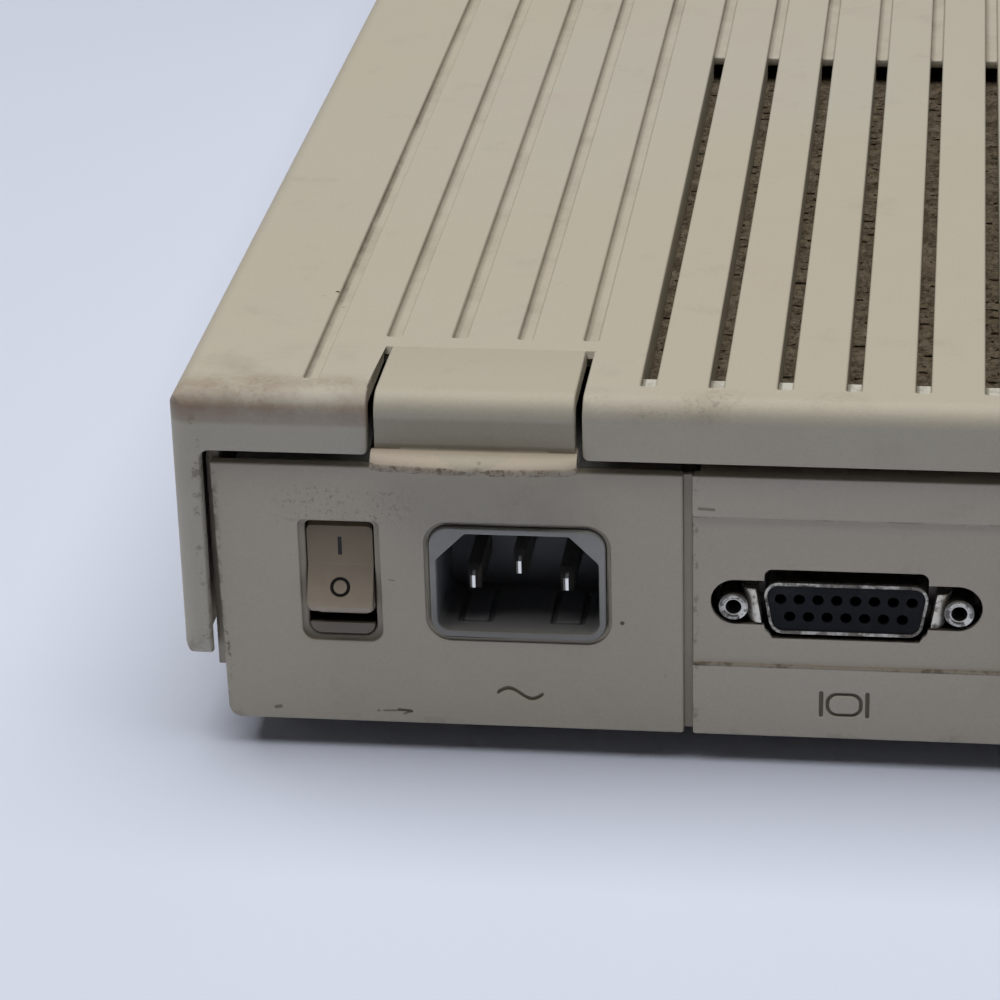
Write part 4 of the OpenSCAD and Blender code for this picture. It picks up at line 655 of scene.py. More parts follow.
def port_masks(recipe):
    """Patchy dirt with painted shade along the raised band's two lines, dirt in the engraved mark, and
    painted shade on the sides of the openings.
    """
    across, inward, up = recipe.axes
    patchy = recipe.noise(260, 5, 0.7).above(0.50, 0.60)
    # Each band line is patchy dirt over a painted shade line at the step.
    line = up.within(11.75, 12.05, 0.18) * (patchy * 0.35 + 0.52)
    upper_line = up.within(36.0, 36.3, 0.2) * (patchy * 0.30 + 0.16)
    lower = up.below(0.7, 1.8) * recipe.noise(150, 6, 0.7).above(0.5, 0.64)
    mark = recipe.zone(PORT_MARK, 0.3) * inward.above(*ENGRAVED)
    rough_edge = across.below(78.0, 78.5) * recipe.noise(380, 5, 0.75).above(0.52, 0.6)
    nick = recipe.stroke((78.4, 37.6), (80.6, 37.5), 0.10, 0.25)
    # Painted shade on the sides inside the openings.
    opening_wall_shade = inward.above(2.0, 2.6) * up.within(12.5, 36, 0.2) * 0.62
    return (line + upper_line + lower * 0.25 + mark * 0.82 + rough_edge * 0.4 + nick * 0.6
            + opening_wall_shade).clamp(), 0.0


def latch_masks(recipe):
    """A tongue scuffed on its roll, dulled and darkened where it is handled, dirty at its root, with
    painted shade on its rear face.
    """
    _, inward, up = recipe.axes
    root = inward.within(-1.0, 0.3, 0.6) * up.within(46.4, 47.2, 0.5)
    # Painted shade on the tongue's rear face.
    rear_face_shade = inward.within(-0.2, 0.6, 0.4) * up.within(46.8, 51.0, 0.8)
    front_edge = inward.below(-0.6, -0.2) * up.below(45.3, 45.8)
    thin = recipe.noise(420, 6, 0.75).above(0.46, 0.60)
    handled = inward.below(-0.7, -0.1) * 0.11
    scuffs, _ = scuffed_rim(recipe, 0.25)
    return (scuffs + handled + root * 0.22 + rear_face_shade * 0.24
            + front_edge * (thin * 0.4 + 0.08)), 0.0


def inside_masks(recipe):
    """A layer of dust on what lies flat inside the case."""
    return 0.0, recipe.noise(120, 6, 0.7).above(0.42, 0.62) * 0.35


print("aged plastic is ready")

# %% [markdown]
# Metals, boards and small parts each get a short recipe of their own. Metal is never clean after
# this many years: tarnish lowers the shine in patches and dulls the colour.

# %% Metals
def tarnished(name, tint, dull=(0.16, 0.14, 0.11), rough=0.32, spread=0.5, scale=220, extra=None):
    recipe = Recipe(name)
    cloud = recipe.noise(scale, 6, 0.68, 0.3)
    stain = cloud.above(0.62 - spread * 0.3, 0.78 - spread * 0.3)
    fine = recipe.noise(1800, 3, 0.6)
    colour, stain = extra(recipe, stain) if extra else (tint, stain)
    return recipe.surface(
        recipe.mix(stain, colour, dull), (fine * 0.14 + stain * 0.30 + (rough - 0.07)).clamp(),
        (fine, 0.16, 0.00008), Metallic=1 - stain * 0.45)


def brushed(name, tint, along):
    """Rolled sheet: fine lines along the axis whose scale is smallest."""
    recipe = Recipe(name)
    lines = recipe.noise(1, 3, 0.6, place=recipe.stretched(tuple(900 * a for a in along)))
    cloud = recipe.noise(40, 5, 0.6)
    dust = recipe.noise(130, 6, 0.7).above(0.55, 0.75) * 0.35
    return recipe.surface(
        recipe.mix(dust, tint, DUST), (lines * 0.16 + cloud * 0.16 + 0.28).clamp(),
        (lines, 0.12, 0.00008), Metallic=1 - dust)


print("metal recipes are ready")

# %% [markdown]
# A circuit board is solder mask over copper, so its tracks are drawn in the colour and in the
# relief. Rubber and the small moulded or painted parts share one plain recipe.

# %% Boards and boxes
def circuit_board(name, mask_tint, track_tint, pitch=210):
    """Solder mask over copper: bundles of tracks run round square cells, and pads dot the rest."""
    recipe = Recipe(name)
    flat = recipe.stretched((1, 1, 0))
    blocks = recipe.cells(pitch * 0.22, 0.85, flat, "CHEBYCHEV")
    track = (blocks * 9).wrap().within(0.30, 0.62, 0.08)
    pads = recipe.cells(pitch * 1.9, 0.12, flat).below(0.20, 0.25)
    pads = pads * recipe.noise(38, 2, 0.5, place=flat).above(0.54, 0.56)
    dust = recipe.noise(90, 6, 0.7).above(0.50, 0.74) * 0.30
    colour = recipe.coats(mask_tint, (track * 0.55, track_tint), (pads, (0.50, 0.49, 0.44)), (dust, DUST))
    return recipe.surface(colour, (dust * 0.5 + 0.30).clamp(), (track + pads, 0.35, 0.00008),
                          Metallic=pads * 0.7, Specular_IOR_Level=0.5)


def plain(name, tint, rough, dusty, grain=0.12, sheen=0.4):
    """A small moulded or painted part: tone clouds, a little dust on it, a fine grain."""
    recipe = Recipe(name)
    cloud = recipe.noise(240, 4, 0.6)
    dust = recipe.noise(144, 6, 0.7).above(0.50, 0.76) * dusty
    darker = tuple(c * 0.72 for c in tint)
    return recipe.surface(
        recipe.coats(tint, (cloud.above(0.4, 0.7), darker), (dust, DUST)),
        (cloud * 0.16 + dust * 0.4 + (rough - 0.08)).clamp(),
        (recipe.noise(2200, 2, 0.6), grain, 0.0001), Specular_IOR_Level=sheen)


print("board and small part recipes are ready")

# %% [markdown]
# These parts have a look that depends on where on the part you are: the switch with its two
# inked marks and its painted light and shade, the inlet with painted shade inside, pins with a
# painted highlight at their ends, a tarnished shell rubbed bright with painted highlights on its
# flanks, and the slotted shield that has caught the dust of every year the fan has run.

# %% Parts with places
SWITCH_ACROSS, SWITCH_UP, RING_UP = 24.5, 25.1, 23.04
BLADE_ACROSS, BLADE_UP = (44.4, 58.46, 51.4), (20.9, 28.4, 0.1)


def rocker_look():
    """The rocker: painted shade towards its top, round its crease and on its sides, painted highlight on
    its foot and front edge, painted shadow down inside and under the front edge, and inked marks.
    """
    recipe = Recipe("rocker_plastic")
    across, inward, up = recipe.axes
    cloud = recipe.noise(150, 5, 0.65)
    from_centre, from_ring = across - SWITCH_ACROSS, (up - RING_UP) * 1.095
    # high marks the upper half, painted darker towards the top as painted shade.
    high = up.above(SWITCH_UP - 0.5, SWITCH_UP + 9.0)
    below_crease_shade = up.within(23.0, 26.22, 0.02) * up.above(21.5, 26.2) * 0.42
    corner = from_centre.abs().above(3.6, 4.9) * up.above(31.2, 33.2)
    lip_highlight = up.within(17.0, 17.65, 0.2) * inward.below(1.2, 1.8)
    sill_shade = inward.above(1.8, 1.95) * up.below(16.6, 17.1) * 0.66
    stroke = from_centre.abs().below(0.24, 0.34) * up.within(27.9, 30.75, 0.12)
    ring = ((from_centre * from_centre + from_ring * from_ring) ** 0.5).within(1.05, 1.5, 0.08)
    # Painted light in these coats: shade on the upper half and round the crease, highlight on the foot
    # and the front edge, deep shadow past 3.4 mm in, shade on the ledge below and on the sides; the two
    # marks are ink.
    colour = recipe.coats(
        (0.372, 0.312, 0.238), (cloud.above(0.35, 0.7) * 0.5, (0.300, 0.242, 0.176)),
        (high * 0.75, (0.138, 0.110, 0.070)), (up.above(26.1, 26.35) * 0.45, (0.170, 0.115, 0.048)),
        (up.below(18.4, 21.6) * 0.45, (0.56, 0.48, 0.39)), (below_crease_shade, (0.215, 0.175, 0.130)),
        (corner * 0.5, GRIME_AND_SHADE), (lip_highlight * 0.6, (0.62, 0.56, 0.47)),
        (inward.above(3.4, 3.7) * 0.93, (0.046, 0.038, 0.026)), (sill_shade, (0.10, 0.085, 0.06)),
        ((stroke + ring).clamp(), (0.012, 0.011, 0.010)),
        (from_centre.abs().above(4.9, 5.0) * 0.6, (0.03, 0.027, 0.022)))
    return recipe.surface(colour, (cloud * 0.25 + 0.36).clamp(),
                          (recipe.noise(GRAIN_SCALE, 2, 0.6), 0.16, 0.0001), Specular_IOR_Level=0.42)


def inlet_look():
    recipe = Recipe("inlet_plastic")
    _, inward, up = recipe.axes
    cloud = recipe.noise(130, 5, 0.6)
    # Painted shade: the lower part and its bottom edge, the inside past the rim, the upper walls and the
    # deepest part are made darker.
    low = up.below(17.5, 27) * 0.35 + up.below(13.9, 14.9) * 0.55
    walls = up.above(17.5, 19.5) * inward.above(2.4, 3.2)
    colour = recipe.coats(
        (0.345, 0.342, 0.322), (cloud.above(0.35, 0.7), (0.300, 0.295, 0.272)),
        (low, (0.090, 0.085, 0.075)), (inward.above(1.9, 3.4) * 0.90, (0.230, 0.230, 0.233)),
        (walls * 0.55, (0.175, 0.175, 0.178)), (inward.above(15.0, 17.0) * 0.4, (0.140, 0.138, 0.140)))
    return recipe.surface(colour, (cloud * 0.15 + 0.34).clamp(),
                          (recipe.noise(GRAIN_SCALE, 2, 0.6), 0.10, 0.0001), Specular_IOR_Level=0.42)


def contact_look(recipe, stain):
    """Plated brass with a painted highlight on the pins' front ends, bare of tarnish there, and painted
    shade along the pins further in.
    """
    across, inward, up = recipe.axes
    left, right, earth = ((across - place).abs() for place in BLADE_ACROSS)
    middle = left.least(right).least(earth).below(0.20, 0.27)
    # Painted highlight on the front ends of the pins, and painted shade along them.
    tip_highlight = inward.below(4.3, 4.9) * up.within(*BLADE_UP) * middle
    blade_shade = inward.within(3.0, 24.0, 0.1) * up.within(*BLADE_UP)
    tint = recipe.coats((0.42, 0.40, 0.37), (blade_shade * 0.85, (0.10, 0.10, 0.10)), (tip_highlight, (0.92, 0.91, 0.86)))
    return tint, (stain * 0.6 + 0.30) * (1 - tip_highlight)


POST_FACE = box_on_case("port_jackscrews")[1][0]


def post_look(recipe, stain):
    """A tapped post: its face is worn bright, with painted shade on its side and down its bore."""
    # Painted shade on everything behind the post's face: its side and its bore.
    inside = recipe.inward.above(POST_FACE + 0.15, POST_FACE + 0.6)
    tint = recipe.mix(inside, (0.62, 0.60, 0.55), (0.06, 0.055, 0.05))
    return tint, (stain * 0.8 + inside * 0.7).clamp()


def shell_look(recipe, stain):
    """A drawn shell: dark and freckled on top, rubbed bright at the mouth and on its flanks, where the
    pale colour is also a painted highlight.
    """
    across, inward, _ = recipe.axes
    mouth = inward.below(2.7, 3.1)
    # The flanks are worn and also carry a painted highlight.
    flank_wear_and_highlight = (across.below(86.2, 87.2) + across.above(173, 174)
             + across.within(113.5, 132.5, 0.6)) * inward.below(6.0, 8.5)
    freckle = recipe.cells(1500).below(0.25, 0.42) * recipe.noise(340, 5, 0.7).above(0.46, 0.56)
    bright = (mouth * recipe.noise(420, 5, 0.7).above(0.46, 0.60) + flank_wear_and_highlight * 0.8).clamp()
    tint = recipe.mix(bright, (0.22, 0.20, 0.17), (0.50, 0.48, 0.43))
    return tint, ((stain * 0.8 + 0.25) * (1 - bright * 0.9) + freckle * 0.55).clamp()


def dusty_shield_look():
    recipe = Recipe("shield_steel")
    cloud = recipe.noise(150, 6, 0.72, 0.5)
    lint = recipe.noise(900, 6, 0.8).above(0.52, 0.66)
    freckle = recipe.cells(800).below(0.26, 0.44) * recipe.noise(130, 4, 0.6).above(0.44, 0.56)
    colour = recipe.coats(
        (0.300, 0.240, 0.160), (cloud.above(0.3, 0.7), (0.150, 0.112, 0.070)),
        (lint * 0.5, (0.42, 0.36, 0.27)), (freckle * 0.75, (0.040, 0.028, 0.016)))
    return recipe.surface(colour, 0.85, (lint + cloud, 0.7, 0.0004), Metallic=0.1)


def ribbon_look():
    recipe = Recipe("ribbon_grey")
    hollow = (recipe.across / 1.27).ridge().above(0.72, 0.98)
    # The hollows between the wires are painted dark: painted shade.
    colour = recipe.coats((0.36, 0.365, 0.37), (recipe.noise(80, 4, 0.6) * 0.5, (0.30, 0.295, 0.285)),
                          (hollow * 0.65, (0.10, 0.10, 0.10)))
    return recipe.surface(colour, 0.42, (1 - hollow, 0.6, 0.0004))


def winding_look():
    recipe = Recipe("winding_tape")
    band = recipe.inward.within(83, 100.4, 0.3)
    lap = (recipe.up / 5.4).wrap().above(0.93, 0.99)
    colour = recipe.coats((0.10, 0.10, 0.105), (band, (0.62, 0.45, 0.07)),
                          (lap * band * 0.5, (0.35, 0.24, 0.03)))
    return recipe.surface(colour, 0.34, (lap, 0.3, 0.0002))


def copper_look():
    recipe = Recipe("copper_wire")
    tint = recipe.mix(recipe.noise(300, 4, 0.6), (0.62, 0.24, 0.09), (0.36, 0.12, 0.05))
    return recipe.surface(tint, 0.3, (1 - (recipe.up / 1.1).ridge(), 0.8, 0.0005), Metallic=0.9)


def lead_look():
    """A bundle of four coloured wires laid flat."""
    recipe = Recipe("cable_black")
    gap = (recipe.inward / 2.65).ridge().above(0.78, 0.98)
    lane = (recipe.inward / 10.6).wrap()
    black, red, amber = (0.03, 0.03, 0.03), (0.45, 0.03, 0.02), (0.55, 0.38, 0.03)
    # The gaps between the wires are painted near black: painted shade.
    colour = recipe.coats(black, (lane.above(0.25, 0.26), red), (lane.above(0.50, 0.51), amber),
                          (lane.above(0.75, 0.76), black), (gap * 0.8, (0.01, 0.01, 0.01)))
    return recipe.surface(colour, 0.4, (1 - gap, 0.7, 0.0006))


def lamp_lens_look():
    recipe = Recipe("led_green")
    colour = recipe.mix(recipe.noise(900, 2, 0.5), (0.16, 0.42, 0.12), (0.08, 0.25, 0.07))
    return recipe.surface(colour, 0.18, Coat_Weight=0.5, Emission_Color=(0.02, 0.10, 0.02),
                          Emission_Strength=0.4)


print("parts with places are ready")

# %% [markdown]
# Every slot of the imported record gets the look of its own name, and every node, softened or
# packed, wears the look of its slot. A few nodes have a look of their own, such as the two wide
# connectors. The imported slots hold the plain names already, so Blender adds a number to each look.

# %% Dress every node
ALUMINIUM, STEEL, NICKEL = (0.72, 0.73, 0.74), (0.58, 0.58, 0.57), (0.62, 0.61, 0.58)

looks = [
    aged_plastic("lid_plastic", masks=lid_masks, specks=0.05, dust_tint=(0.285, 0.205, 0.150)),
    aged_plastic("latch_plastic", (0.455, 0.424, 0.345), latch_masks),
    aged_plastic("bezel_plastic", mottle=0.35),
    aged_plastic("tray_plastic", (0.44, 0.39, 0.31), inside_masks, 0.3),
    aged_plastic("supply_plastic", (0.494, 0.447, 0.360), supply_masks, 0.30, 0.25),
    aged_plastic("port_plastic", (0.530, 0.478, 0.398), port_masks, 0.28, 0.25),
    rocker_look(),
    inlet_look(),
    plain("black_plastic", (0.022, 0.022, 0.024), 0.45, 0.15),
    plain("cream_plastic", (0.60, 0.54, 0.42), 0.5, 0.3),
    plain("rail_plastic", (0.25, 0.24, 0.22), 0.55, 0.3),
    plain("foot_rubber", (0.03, 0.03, 0.03), 0.8, 0.5, 0.3, 0.2),
    dusty_shield_look(),
    brushed("plated_steel", STEEL, (1, 0.05, 1)),
    tarnished("contact_metal", NICKEL, extra=contact_look),
    circuit_board("board_green", (0.018, 0.105, 0.045), (0.05, 0.20, 0.08)),
    circuit_board("board_brown", (0.26, 0.17, 0.07), (0.34, 0.24, 0.12), 90),
    circuit_board("motor_board", (0.02, 0.12, 0.16), (0.05, 0.20, 0.24)),
    plain("chip_black", (0.028, 0.028, 0.031), 0.42, 0.35, 0.3),
    winding_look(),
    copper_look(),
    plain("can_sleeve", (0.02, 0.035, 0.13), 0.3, 0.2),
    tarnished("aluminium_cans", ALUMINIUM, (0.40, 0.39, 0.36), 0.3, 0.2, 120),
    brushed("heatsink_aluminium", ALUMINIUM, (1, 1, 0.05)),
    plain("battery_red", (0.40, 0.025, 0.02), 0.3, 0.2),
    ribbon_look(),
    lead_look(),
    plain("cast_aluminium", (0.035, 0.035, 0.038), 0.5, 0.3, 0.5),
    plain("paper_cone", (0.035, 0.033, 0.03), 0.9, 0.5, 0.5, 0.1),
    lamp_lens_look(),
]
looks = {look.name.partition(".")[0]: look for look in looks}
own_looks = {
    "video_port_shell": tarnished("video_shell_metal", NICKEL, (0.075, 0.065, 0.052), 0.30,
                                  extra=shell_look),
    "drive_port_shell": tarnished("drive_shell_metal", NICKEL, (0.20, 0.18, 0.15), 0.28, 0.3),
    "port_jackscrews": tarnished("jackscrew_metal", NICKEL, (0.12, 0.10, 0.08), 0.30, 0.3, 500,
                                 extra=post_look),
    "video_port_insert": plain("contact_block", (0.007, 0.008, 0.012), 0.55, 0.06, sheen=0.2),
    "floppy_guide_rods": tarnished("ground_steel", STEEL, (0.35, 0.34, 0.32), 0.18, 0.1),
    "floppy_lead_screw": tarnished("screw_steel", STEEL, (0.30, 0.28, 0.24), 0.25, 0.2),
}
node_slots = {part["node"]: part["material_slot"] for part in frame["record"]["subparts"]}
for node, source in nodes.items():
    look = own_looks.get(node) or looks[node_slots[node]]
    for wearer in [source] + ([pieces[node]] if node in pieces else []):
        wearer.data.materials.clear()
        wearer.data.materials.append(look)
print("dressed", len(nodes), "nodes in", len(looks) + len(own_looks), "looks")

# %% [markdown]
# The rest of the scene is small parts. They share a few builders: a box, a rod, a lathe that spins
# a profile round an axis, a loft over rows of places, and one function that turns the finished
# bmesh into a piece riding on a body. Places are still given in millimetres on the case.

# %% Builders for small parts
ACROSS, INWARD, UP = Vector((-1, 0, 0)), Vector((0, -1, 0)), Vector((0, 0, 1))


def centre(span):
    return sum(span) / 2


def round_from(place, angle, radius, side):
    """A place on a circle that starts across the case and turns towards a side."""
    return place + ACROSS * cos(angle) * radius * MM + side * sin(angle) * radius * MM


def linked(vert):
    return [edge.other_vert(vert) for edge in vert.link_edges]


def add_box(shape, across, inward, up):
    """A box between two limits on each of the case's axes."""
    corner, far = at(across[0], inward[0], up[0]), at(across[1], inward[1], up[1])
    middle, size = (corner + far) / 2, far - corner
    matrix = Matrix.Translation(middle) @ Matrix.Diagonal((abs(size.x), abs(size.y), abs(size.z), 1))
    bmesh.ops.create_cube(shape, size=1, matrix=matrix)


def add_lathe(shape, profile, place, axis, steps):
    """Spins (radius, height) points, in millimetres, about an axis that starts at a place."""
    turn = axis.to_track_quat("Z", "Y").to_matrix().to_4x4()
    points = [shape.verts.new((radius * MM, 0, height * MM)) for radius, height in profile]
    edges = [shape.edges.new(pair) for pair in zip(points, points[1:])]
    bmesh.ops.spin(shape, geom=points + edges, cent=(0, 0, 0), axis=(0, 0, 1),
                   angle=2 * pi, steps=steps, use_merge=True)
    spun, = islands(points[:1], linked)
    bmesh.ops.transform(shape, matrix=Matrix.Translation(place) @ turn, verts=spun)


def add_rod(shape, start, end, radius):
    """A closed thin rod between two places."""
    length = (end - start).length / MM
    add_lathe(shape, [(0, 0), (radius, 0), (radius, length), (0, length)], start, end - start, 6)


def add_loft(shape, rows, closed=True, capped=True):
    """Skins rows of places one to the next; closed rows go all round, and caps fill both ends."""
    rows = [[shape.verts.new(place) for place in row] for row in rows]
    count = len(rows[0])
    for here, there in zip(rows, rows[1:]):
        for i in range(count if closed else count - 1):
            j = (i + 1) % count
            shape.faces.new((here[i], here[j], there[j], there[i]))
    for row in (rows[0], rows[-1]) if capped else ():
        shape.faces.new(row)


def finish_piece(shape, name, body, look, round_edges=0.0, smooth=True):
    """Closes a bmesh into a piece of the scene that rides on a body."""
    bmesh.ops.remove_doubles(shape, verts=shape.verts, dist=0.0000005)
    bmesh.ops.recalc_face_normals(shape, faces=shape.faces)
    mesh = bpy.data.meshes.new(name)
    shape.to_mesh(mesh)
    shape.free()
    mesh.materials.append(look)
    pieces[name] = piece = put(name, mesh)
    if smooth:
        mesh.shade_smooth()
        mesh.set_sharp_from_angle(angle=radians(35))
    if round_edges:
        roll_edges(piece, round_edges, limit_method="ANGLE", angle_limit=radians(40))
    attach(piece, body)


def loose_boxes(node):
    """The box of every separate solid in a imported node, in millimetres on the case."""
    shape = packed_shape(node)
    boxes = [[(min(c), max(c)) for c in zip(*(on_case(vert.co) for vert in solid))]
             for solid in islands(shape.verts, linked)]
    shape.free()
    return sorted(boxes)


print("builders are ready")

# %% [markdown]
# The rear connectors first, because they are seen closest. Each tapped post gets a worn, notched
# face and a thread; the round sockets get their metal shields, the sound sockets a plated
# sleeve, and every contact hole a socket a little way down.

# %% Rear connectors
bright = tarnished("worn_plating", (0.74, 0.72, 0.67), (0.10, 0.09, 0.07), 0.26, 0.45, 900)
worn_post = tarnished("worn_post", NICKEL, (0.06, 0.055, 0.05), 0.34, 0.6, 1300, extra=post_look)
brass = tarnished("contact_brass", (0.40, 0.31, 0.16), (0.12, 0.09, 0.05), 0.4, 0.4, 900)
pin_gold = tarnished("contact_gold", (0.80, 0.60, 0.25), (0.35, 0.26, 0.12), 0.25, 0.2, 700)
posts = loose_boxes("port_jackscrews")
PORT_UP = centre(posts[0][2])
PORT_FACE = posts[0][1][0]
POST_R = (posts[0][0][1] - posts[0][0][0]) / 2
BORE_R = 1.2
NOTCH, HALF_NOTCH = radians(-42), radians(22)
CONTACT_PITCH, CONTACT_ROW = 2.77, 1.42
SHIELD_R = 4.35


def notched_ring(shape, place, inner, outer, front, back, steps=30):
    """A flat ring that faces the rear with a wedge missing: the face of a split post."""
    section = ((inner, back), (inner, front + 0.1), (inner + 0.15, front),
               (outer - 0.2, front), (outer, front + 0.15), (outer, back))
    ring = 2 * pi - 2 * HALF_NOTCH
    angles = [NOTCH + HALF_NOTCH + step / steps * ring for step in range(steps + 1)]
    rows = [[round_from(place, angle, r, UP) + INWARD * d * MM for r, d in section] for angle in angles]
    add_loft(shape, rows, closed=False)


def build_post_faces():
    """The split collar on each post, and the thread inside it."""
    shape = bmesh.new()
    for across, inward, up in posts:
        place = at(centre(across), inward[0], centre(up))
        notched_ring(shape, place, 1.42, POST_R - 0.05, -0.28, 0.3)
        for turn in range(1, 6):
            add_lathe(shape, [(BORE_R - 0.02, 0), (BORE_R - 0.2, 0.22), (BORE_R - 0.02, 0.44)],
                      place + INWARD * (0.3 + turn * 0.5) * MM, INWARD, 14)
    finish_piece(shape, "post_collars", "base", worn_post)


def build_contacts():
    """A tube down inside every hole of the two wide connectors."""
    shape = bmesh.new()
    for node, upper_row in (("video_port_insert", 8), ("drive_port_insert", 13)):
        middle = centre(box_on_case(node)[0])
        for row, count in ((CONTACT_ROW, upper_row), (-CONTACT_ROW, upper_row - 1)):
            for i in range(count):
                across = middle + (i - (count - 1) / 2) * CONTACT_PITCH
                add_lathe(shape, [(0.42, 0.9), (0.50, 0), (0.78, 0), (0.78, 0.9)],
                          at(across, PORT_FACE + 3.0, PORT_UP + row), INWARD, 8)
    finish_piece(shape, "contact_sockets", "base", brass)


def build_round_shields():
    """A rolled shield with three tabs in every round socket, and a sleeve in every sound socket."""
    shape, tabs = bmesh.new(), bmesh.new()
    shield = [(4.12, 6.5), (4.12, 0.5), (4.22, 0.25), (4.45, 0.25), (4.55, 0.5), (4.55, 6.5)]
    sleeve = [(1.82, 0.6), (1.82, -0.12), (2.0, -0.25), (2.75, -0.25), (2.9, -0.12), (2.9, 0.0)]
    for across, inward, _ in loose_boxes("printer_and_modem_ports") + loose_boxes("keyboard_port"):
        place = at(centre(across), inward[0], PORT_UP)
        add_lathe(shape, shield, place, INWARD, 28)
        for tab in range(3):
            spot = round_from(place, radians(90 + tab * 120), SHIELD_R, UP)
            add_rod(tabs, spot + INWARD * 0.1 * MM, spot + INWARD * 1.5 * MM, 0.22)
    for across, inward, _ in loose_boxes("sound_jacks"):
        add_lathe(shape, sleeve, at(centre(across), inward[0], PORT_UP), INWARD, 24)
    finish_piece(tabs, "shield_tabs", "base", bright)
    finish_piece(shape, "socket_shields", "base", bright)


def build_shell_flanks():
    """The flared root of the first connector's shell, rubbed bright beside each post, with its pale
    colour also a painted highlight.
    """
    shape = bmesh.new()
    middle = centre(box_on_case("video_port_insert")[0])
    for side in (-1, 1):
        rows = []
        for step in range(7):
            t = step / 6
            up, lean, bow = PORT_UP + 2.9 - 5.6 * t, 0.9 * t, 0.7 * sin(pi * t)
            section = ((13.35, 2.35), (14.2, 2.45 + bow * 0.2), (15.1, 3.1 + bow * 0.4),
                       (15.6, 4.6), (15.6, 5.6), (13.35, 5.6))
            rows.append([at(middle + side * (out - lean), deep, up) for out, deep in section])
        add_loft(shape, rows)
    rubbed = tarnished("rubbed_shell", (0.74, 0.70, 0.61), (0.20, 0.17, 0.13), 0.42, 0.45, 700)
    finish_piece(shape, "shell_flanks", "base", rubbed, 0.12)


def build_panel_gap():
    """The rib that backs the gap between the supply's case and the port panel."""
    shape = bmesh.new()
    add_box(shape, (76.0, 77.4), (2.75, 3.55), (0.6, 42.6))
    shaded = aged_plastic("gap_plastic", (0.36, 0.33, 0.28), mottle=0.5)
    finish_piece(shape, "panel_gap_rib", "base", shaded, 0.1)


build_post_faces()
build_contacts()
build_shell_flanks()
build_panel_gap()
build_round_shields()
print("rear connectors:", len(posts), "posts at", round(PORT_UP, 2), "mm up")

# %% [markdown]
# The lid's own small parts. Each finger ledge is a lofted shelf: thick, slightly bowed, its top
# rolling down to a thin soiled front edge. The vents end in a short pale floor, and lint lies in
# flakes on the slotted shield below them.

# %% Ledges, vent floors and lint
VENT_ACROSS, VENT_PITCH, VENT_COUNT = 70.6, 10, 18
VENT_END, VENT_FLOOR = (7.5, 10.8), (53.0, 54.12)
SHIELD_TOP = 49.52
LEDGE_SECTION = [(-0.3, 46.62), (0.3, 46.62), (0.55, 46.42), (0.78, 45.98), (0.93, 45.45), (1.0, 45.05),
                 (1.0, 44.55), (0.94, 44.24), (0.7, 44.19), (-0.3, 44.19)]


def build_ledge(node):
    """A shelf along the foot of a latch, lofted across from one section."""
    (left, right), (rear, _), _ = box_on_case(node)
    rows = []
    for step in range(29):
        t = step / 14 - 1
        reach = -rear - 1.05 * t * t - 0.5 * max(abs(t) - 0.93, 0) / 0.07
        across = (left + right) / 2 + t * (right - left) / 2
        rows.append([at(across, -reach * share, up) for share, up in LEDGE_SECTION])
    shape = bmesh.new()
    add_loft(shape, rows)
    finish_piece(shape, node + "_ledge", nodes[node]["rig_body"], ledge_plastic)


def ledge_masks(recipe):
    """Dirt in crumbs along the front edge, and in the root."""
    front = recipe.up.within(44.0, 45.25, 0.25) * recipe.inward.below(-1.9, -1.2)
    crumbs = recipe.noise(900, 5, 0.8).above(0.50, 0.58)
    film = recipe.noise(210, 5, 0.7).above(0.40, 0.62)
    root = recipe.inward.above(-0.5, 0.1) * 0.28
    return (front * (crumbs * 0.5 + film * 0.30 + 0.16) + root).clamp(), 0.0


def build_vent_floors():
    """The last bit of groove floor behind each vent."""
    shape = bmesh.new()
    for i in range(VENT_COUNT):
        middle = VENT_ACROSS + i * VENT_PITCH
        add_box(shape, (middle - 1.08, middle + 1.08), VENT_END, VENT_FLOOR)
    finish_piece(shape, "vent_end_floors", "top_cover", pale_floor_look(), 0.08)


def pale_floor_look():
    recipe = Recipe("pale_floor")
    lane = (((recipe.across - VENT_ACROSS) / VENT_PITCH + 0.5).wrap() - 0.5) * VENT_PITCH
    patchy = recipe.noise(330, 5, 0.7)
    # The darker strip on the left of each vent floor is painted shade from the slot's wall; the patches
    # are dirt.
    colour = recipe.coats((0.53, 0.52, 0.46), (patchy.above(0.45, 0.62) * 0.7, (0.30, 0.27, 0.21)),
                          (lane.below(-0.75, -0.35) * 0.8, (0.20, 0.18, 0.14)))
    return recipe.surface(colour, 0.6, (patchy, 0.3, 0.0002))


def build_lint():
    """Irregular flakes of dust that bridge the shield's slots under every vent."""
    chance = Random(5)
    shape = bmesh.new()
    for i in range(VENT_COUNT):
        middle = VENT_ACROSS + i * VENT_PITCH
        inward = 9.0
        while inward < 163:
            size = chance.uniform(0.9, 2.3)
            place = at(middle + chance.uniform(-1.9, 1.9), inward, SHIELD_TOP)
            start = chance.uniform(0, pi)
            sides = chance.randint(5, 8)
            turns = [start + k / sides * 2 * pi for k in range(sides)]
            rim = [shape.verts.new(place + ACROSS * cos(turn) * size * chance.uniform(0.55, 1.0) * MM
                                   + INWARD * sin(turn) * size * chance.uniform(0.5, 0.95) * MM)
                   for turn in turns]
            top = shape.verts.new(place + UP * chance.uniform(0.12, 0.5) * MM)
            for k in range(sides):
                shape.faces.new((rim[k], rim[(k + 1) % sides], top))
            inward += chance.uniform(0.35, 1.25)
    finish_piece(shape, "shield_lint", "top_cover", lint_look())


